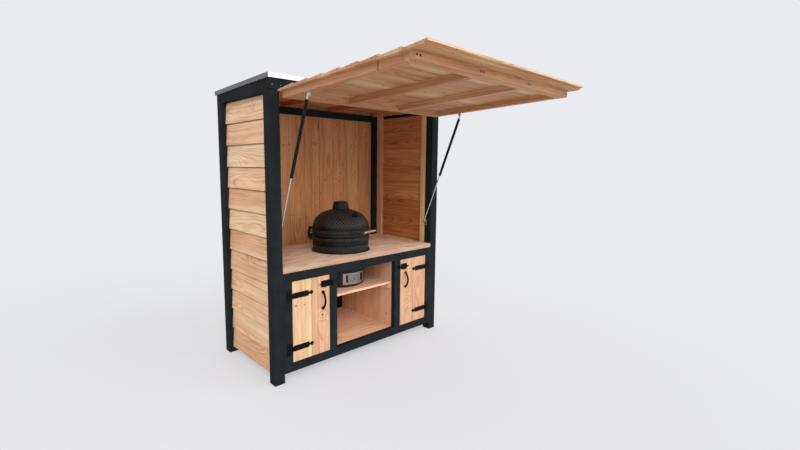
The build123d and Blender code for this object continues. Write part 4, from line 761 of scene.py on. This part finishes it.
def rim_and_rows(length, rows):
    """Places along a side of the flat sheet: one edge, the lines between rows of holes, the other edge."""
    return [0.0] + [RIM + (length - 2 * RIM) * i / rows for i in range(rows + 1)] + [length]


def on_waist(across, up, radius=DRAFT_R):
    """Point on the rolled sheet, or out from it, from its place on the flat sheet."""
    angle = DRAFT_FROM + across / DRAFT_R
    return KAMADO + Vector((radius * math.sin(angle), -radius * math.cos(angle), DRAFT_LOW + up))


screen = bmesh.new()
lines_across = rim_and_rows((DRAFT_TO - DRAFT_FROM) * DRAFT_R, HOLES_ACROSS)
lines_up = rim_and_rows(DRAFT_HIGH - DRAFT_LOW, HOLES_UP)
grid = [[screen.verts.new(on_waist(a, u)) for u in lines_up] for a in lines_across]
hole_turns = [math.tau * (k + 0.5) / HOLE_SIDES for k in range(HOLE_SIDES)]
for i in range(len(lines_across) - 1):
    for j in range(len(lines_up) - 1):
        corners = [grid[i + 1][j + 1], grid[i][j + 1], grid[i][j], grid[i + 1][j]]
        if i in (0, HOLES_ACROSS + 1) or j in (0, HOLES_UP + 1):
            screen.faces.new((corners[2], corners[3], corners[0], corners[1]))
            continue
        middle = ((lines_across[i] + lines_across[i + 1]) / 2, (lines_up[j] + lines_up[j + 1]) / 2)
        hole = [screen.verts.new(on_waist(middle[0] + HOLE_R * math.cos(turn),
                                          middle[1] + HOLE_R * math.sin(turn))) for turn in hole_turns]
        for k in range(4):
            screen.faces.new((corners[k], hole[2 * k + 1], hole[2 * k]))
            screen.faces.new((corners[k], corners[(k + 1) % 4], hole[(2 * k + 2) % HOLE_SIDES],
                              hole[2 * k + 1]))
bmesh.ops.recalc_face_normals(screen, faces=screen.faces)
bmesh.ops.solidify(screen, geom=list(screen.faces), thickness=DRAFT_SHEET)
tab = [screen.verts.new(on_waist((angle - DRAFT_FROM) * DRAFT_R, height - DRAFT_LOW, radius))
       for radius in (DRAFT_R, DRAFT_R + TAB_OUT) for angle in (TAB_FROM, TAB_TO)
       for height in (TAB_LOW, TAB_HIGH)]
for side in ((0, 1, 3, 2), (4, 6, 7, 5), (0, 4, 5, 1), (2, 3, 7, 6), (0, 2, 6, 4), (1, 5, 7, 3)):
    screen.faces.new([tab[corner] for corner in side])
bmesh.ops.recalc_face_normals(screen, faces=screen.faces)
draft_screen = fit_piece("draft_screen", screen, "draft_door", (draft_steel,))
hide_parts("draft_door")

# Studio: a plain pale floor, two broad soft lamps and an even pale surround, and the photograph's viewpoint.
# The floor paper's tone is set so that, under these lamps, it is as bright as the surround; half of it shows
# as lit paper without shadow, so that the kitchen's shadow stays faint.
PALE, WHITE = "#EAEBEF", "#FFFFFF"
SHADOWLESS = 0.5
FLOOR_SIZE = 240.0
SURROUND_LIGHT = 0.72
LAMPS = (("front_left_lamp", Vector((0.50, 0.80, -0.52)).normalized(), 1.4, math.radians(36)),
         ("front_right_lamp", Vector((-0.55, 0.75, -0.40)).normalized(), 1.4, math.radians(60)))


def seen_directly(tree):
    """1 where the eye, a reflection or a clear pane shows the backdrop, 0 where it only gives light."""
    rays = add_node(tree, "LightPath").outputs
    seen = rays["Is Camera Ray"]
    for other in ("Is Glossy Ray", "Is Transmission Ray"):
        seen = add_node(tree, "Math", {0: seen, 1: rays[other]}, operation="MAXIMUM").outputs[0]
    return seen


light_on_floor = SURROUND_LIGHT + sum(-towards.z * strength / math.pi for _, towards, strength, _ in LAMPS)
floor_mesh = bpy.data.meshes.new("studio_floor")
corners = [(x * FLOOR_SIZE / 2, y * FLOOR_SIZE / 2, 0.0) for x, y in ((-1, -1), (1, -1), (1, 1), (-1, 1))]
floor_mesh.from_pydata(corners, [], [(0, 1, 2, 3)])
floor = bpy.data.objects.new("studio_floor", floor_mesh)
bpy.context.scene.collection.objects.link(floor)
floor_paper, tree, shader, place = new_finish("pale_studio_paper", specular=0.0)
shader.inputs["Base Color"].default_value = [c / light_on_floor for c in linear(PALE)[:3]] + [1.0]
shader.inputs["Roughness"].default_value = 1.0
share = add_node(tree, "Math", {0: seen_directly(tree), 1: SHADOWLESS}, operation="MULTIPLY").outputs[0]
glow = add_node(tree, "Emission", {"Color": linear(PALE), "Strength": 1.0}).outputs[0]
both = add_node(tree, "MixShader", {0: share, 1: shader.outputs[0], 2: glow}).outputs[0]
tree.links.new(both, tree.nodes["Material Output"].inputs["Surface"])
floor_mesh.materials.append(floor_paper)

world = bpy.data.worlds.new("pale_surround")
bpy.context.scene.world = world
world.use_nodes = True
tree = world.node_tree
light = add_node(tree, "Background", {"Color": linear(WHITE), "Strength": SURROUND_LIGHT}).outputs[0]
shown = add_node(tree, "Background", {"Color": linear(PALE), "Strength": 1.0}).outputs[0]
both = add_node(tree, "MixShader", {0: seen_directly(tree), 1: light, 2: shown}).outputs[0]
tree.links.new(both, tree.nodes["World Output"].inputs["Surface"])

for name, towards, strength, softness in LAMPS:
    lamp = bpy.data.lights.new(name, "SUN")
    lamp.energy = strength
    lamp.angle = softness
    lamp_object = bpy.data.objects.new(name, lamp)
    lamp_object.rotation_mode = "QUATERNION"
    lamp_object.rotation_quaternion = towards.to_track_quat("-Z", "Y")
    bpy.context.scene.collection.objects.link(lamp_object)

IMAGE_WIDTH, IMAGE_HEIGHT = 800, 450
FOCAL_PX, CENTRE_X, CENTRE_Y = 428.462, 383.900, 216.858
EYE = (-2.41808, -3.25209, 1.67086)
YAW, PITCH, ROLL = math.radians(42.9507), math.radians(6.7752), math.radians(0.4215)
camera_data = bpy.data.cameras.new("viewpoint")
camera_data.sensor_width = 36.0
camera_data.lens = FOCAL_PX * camera_data.sensor_width / IMAGE_WIDTH
camera_data.shift_x = (IMAGE_WIDTH / 2 - CENTRE_X) / IMAGE_WIDTH
camera_data.shift_y = (CENTRE_Y - IMAGE_HEIGHT / 2) / IMAGE_WIDTH
camera = bpy.data.objects.new("viewpoint", camera_data)
camera.matrix_world = (Matrix.Translation(EYE) @ Matrix.Rotation(-YAW, 4, "Z")
                       @ Matrix.Rotation(math.pi / 2 - PITCH, 4, "X") @ Matrix.Rotation(ROLL, 4, "Z"))
bpy.context.scene.collection.objects.link(camera)
bpy.context.scene.camera = camera
bpy.context.scene.view_settings.view_transform = "Standard"
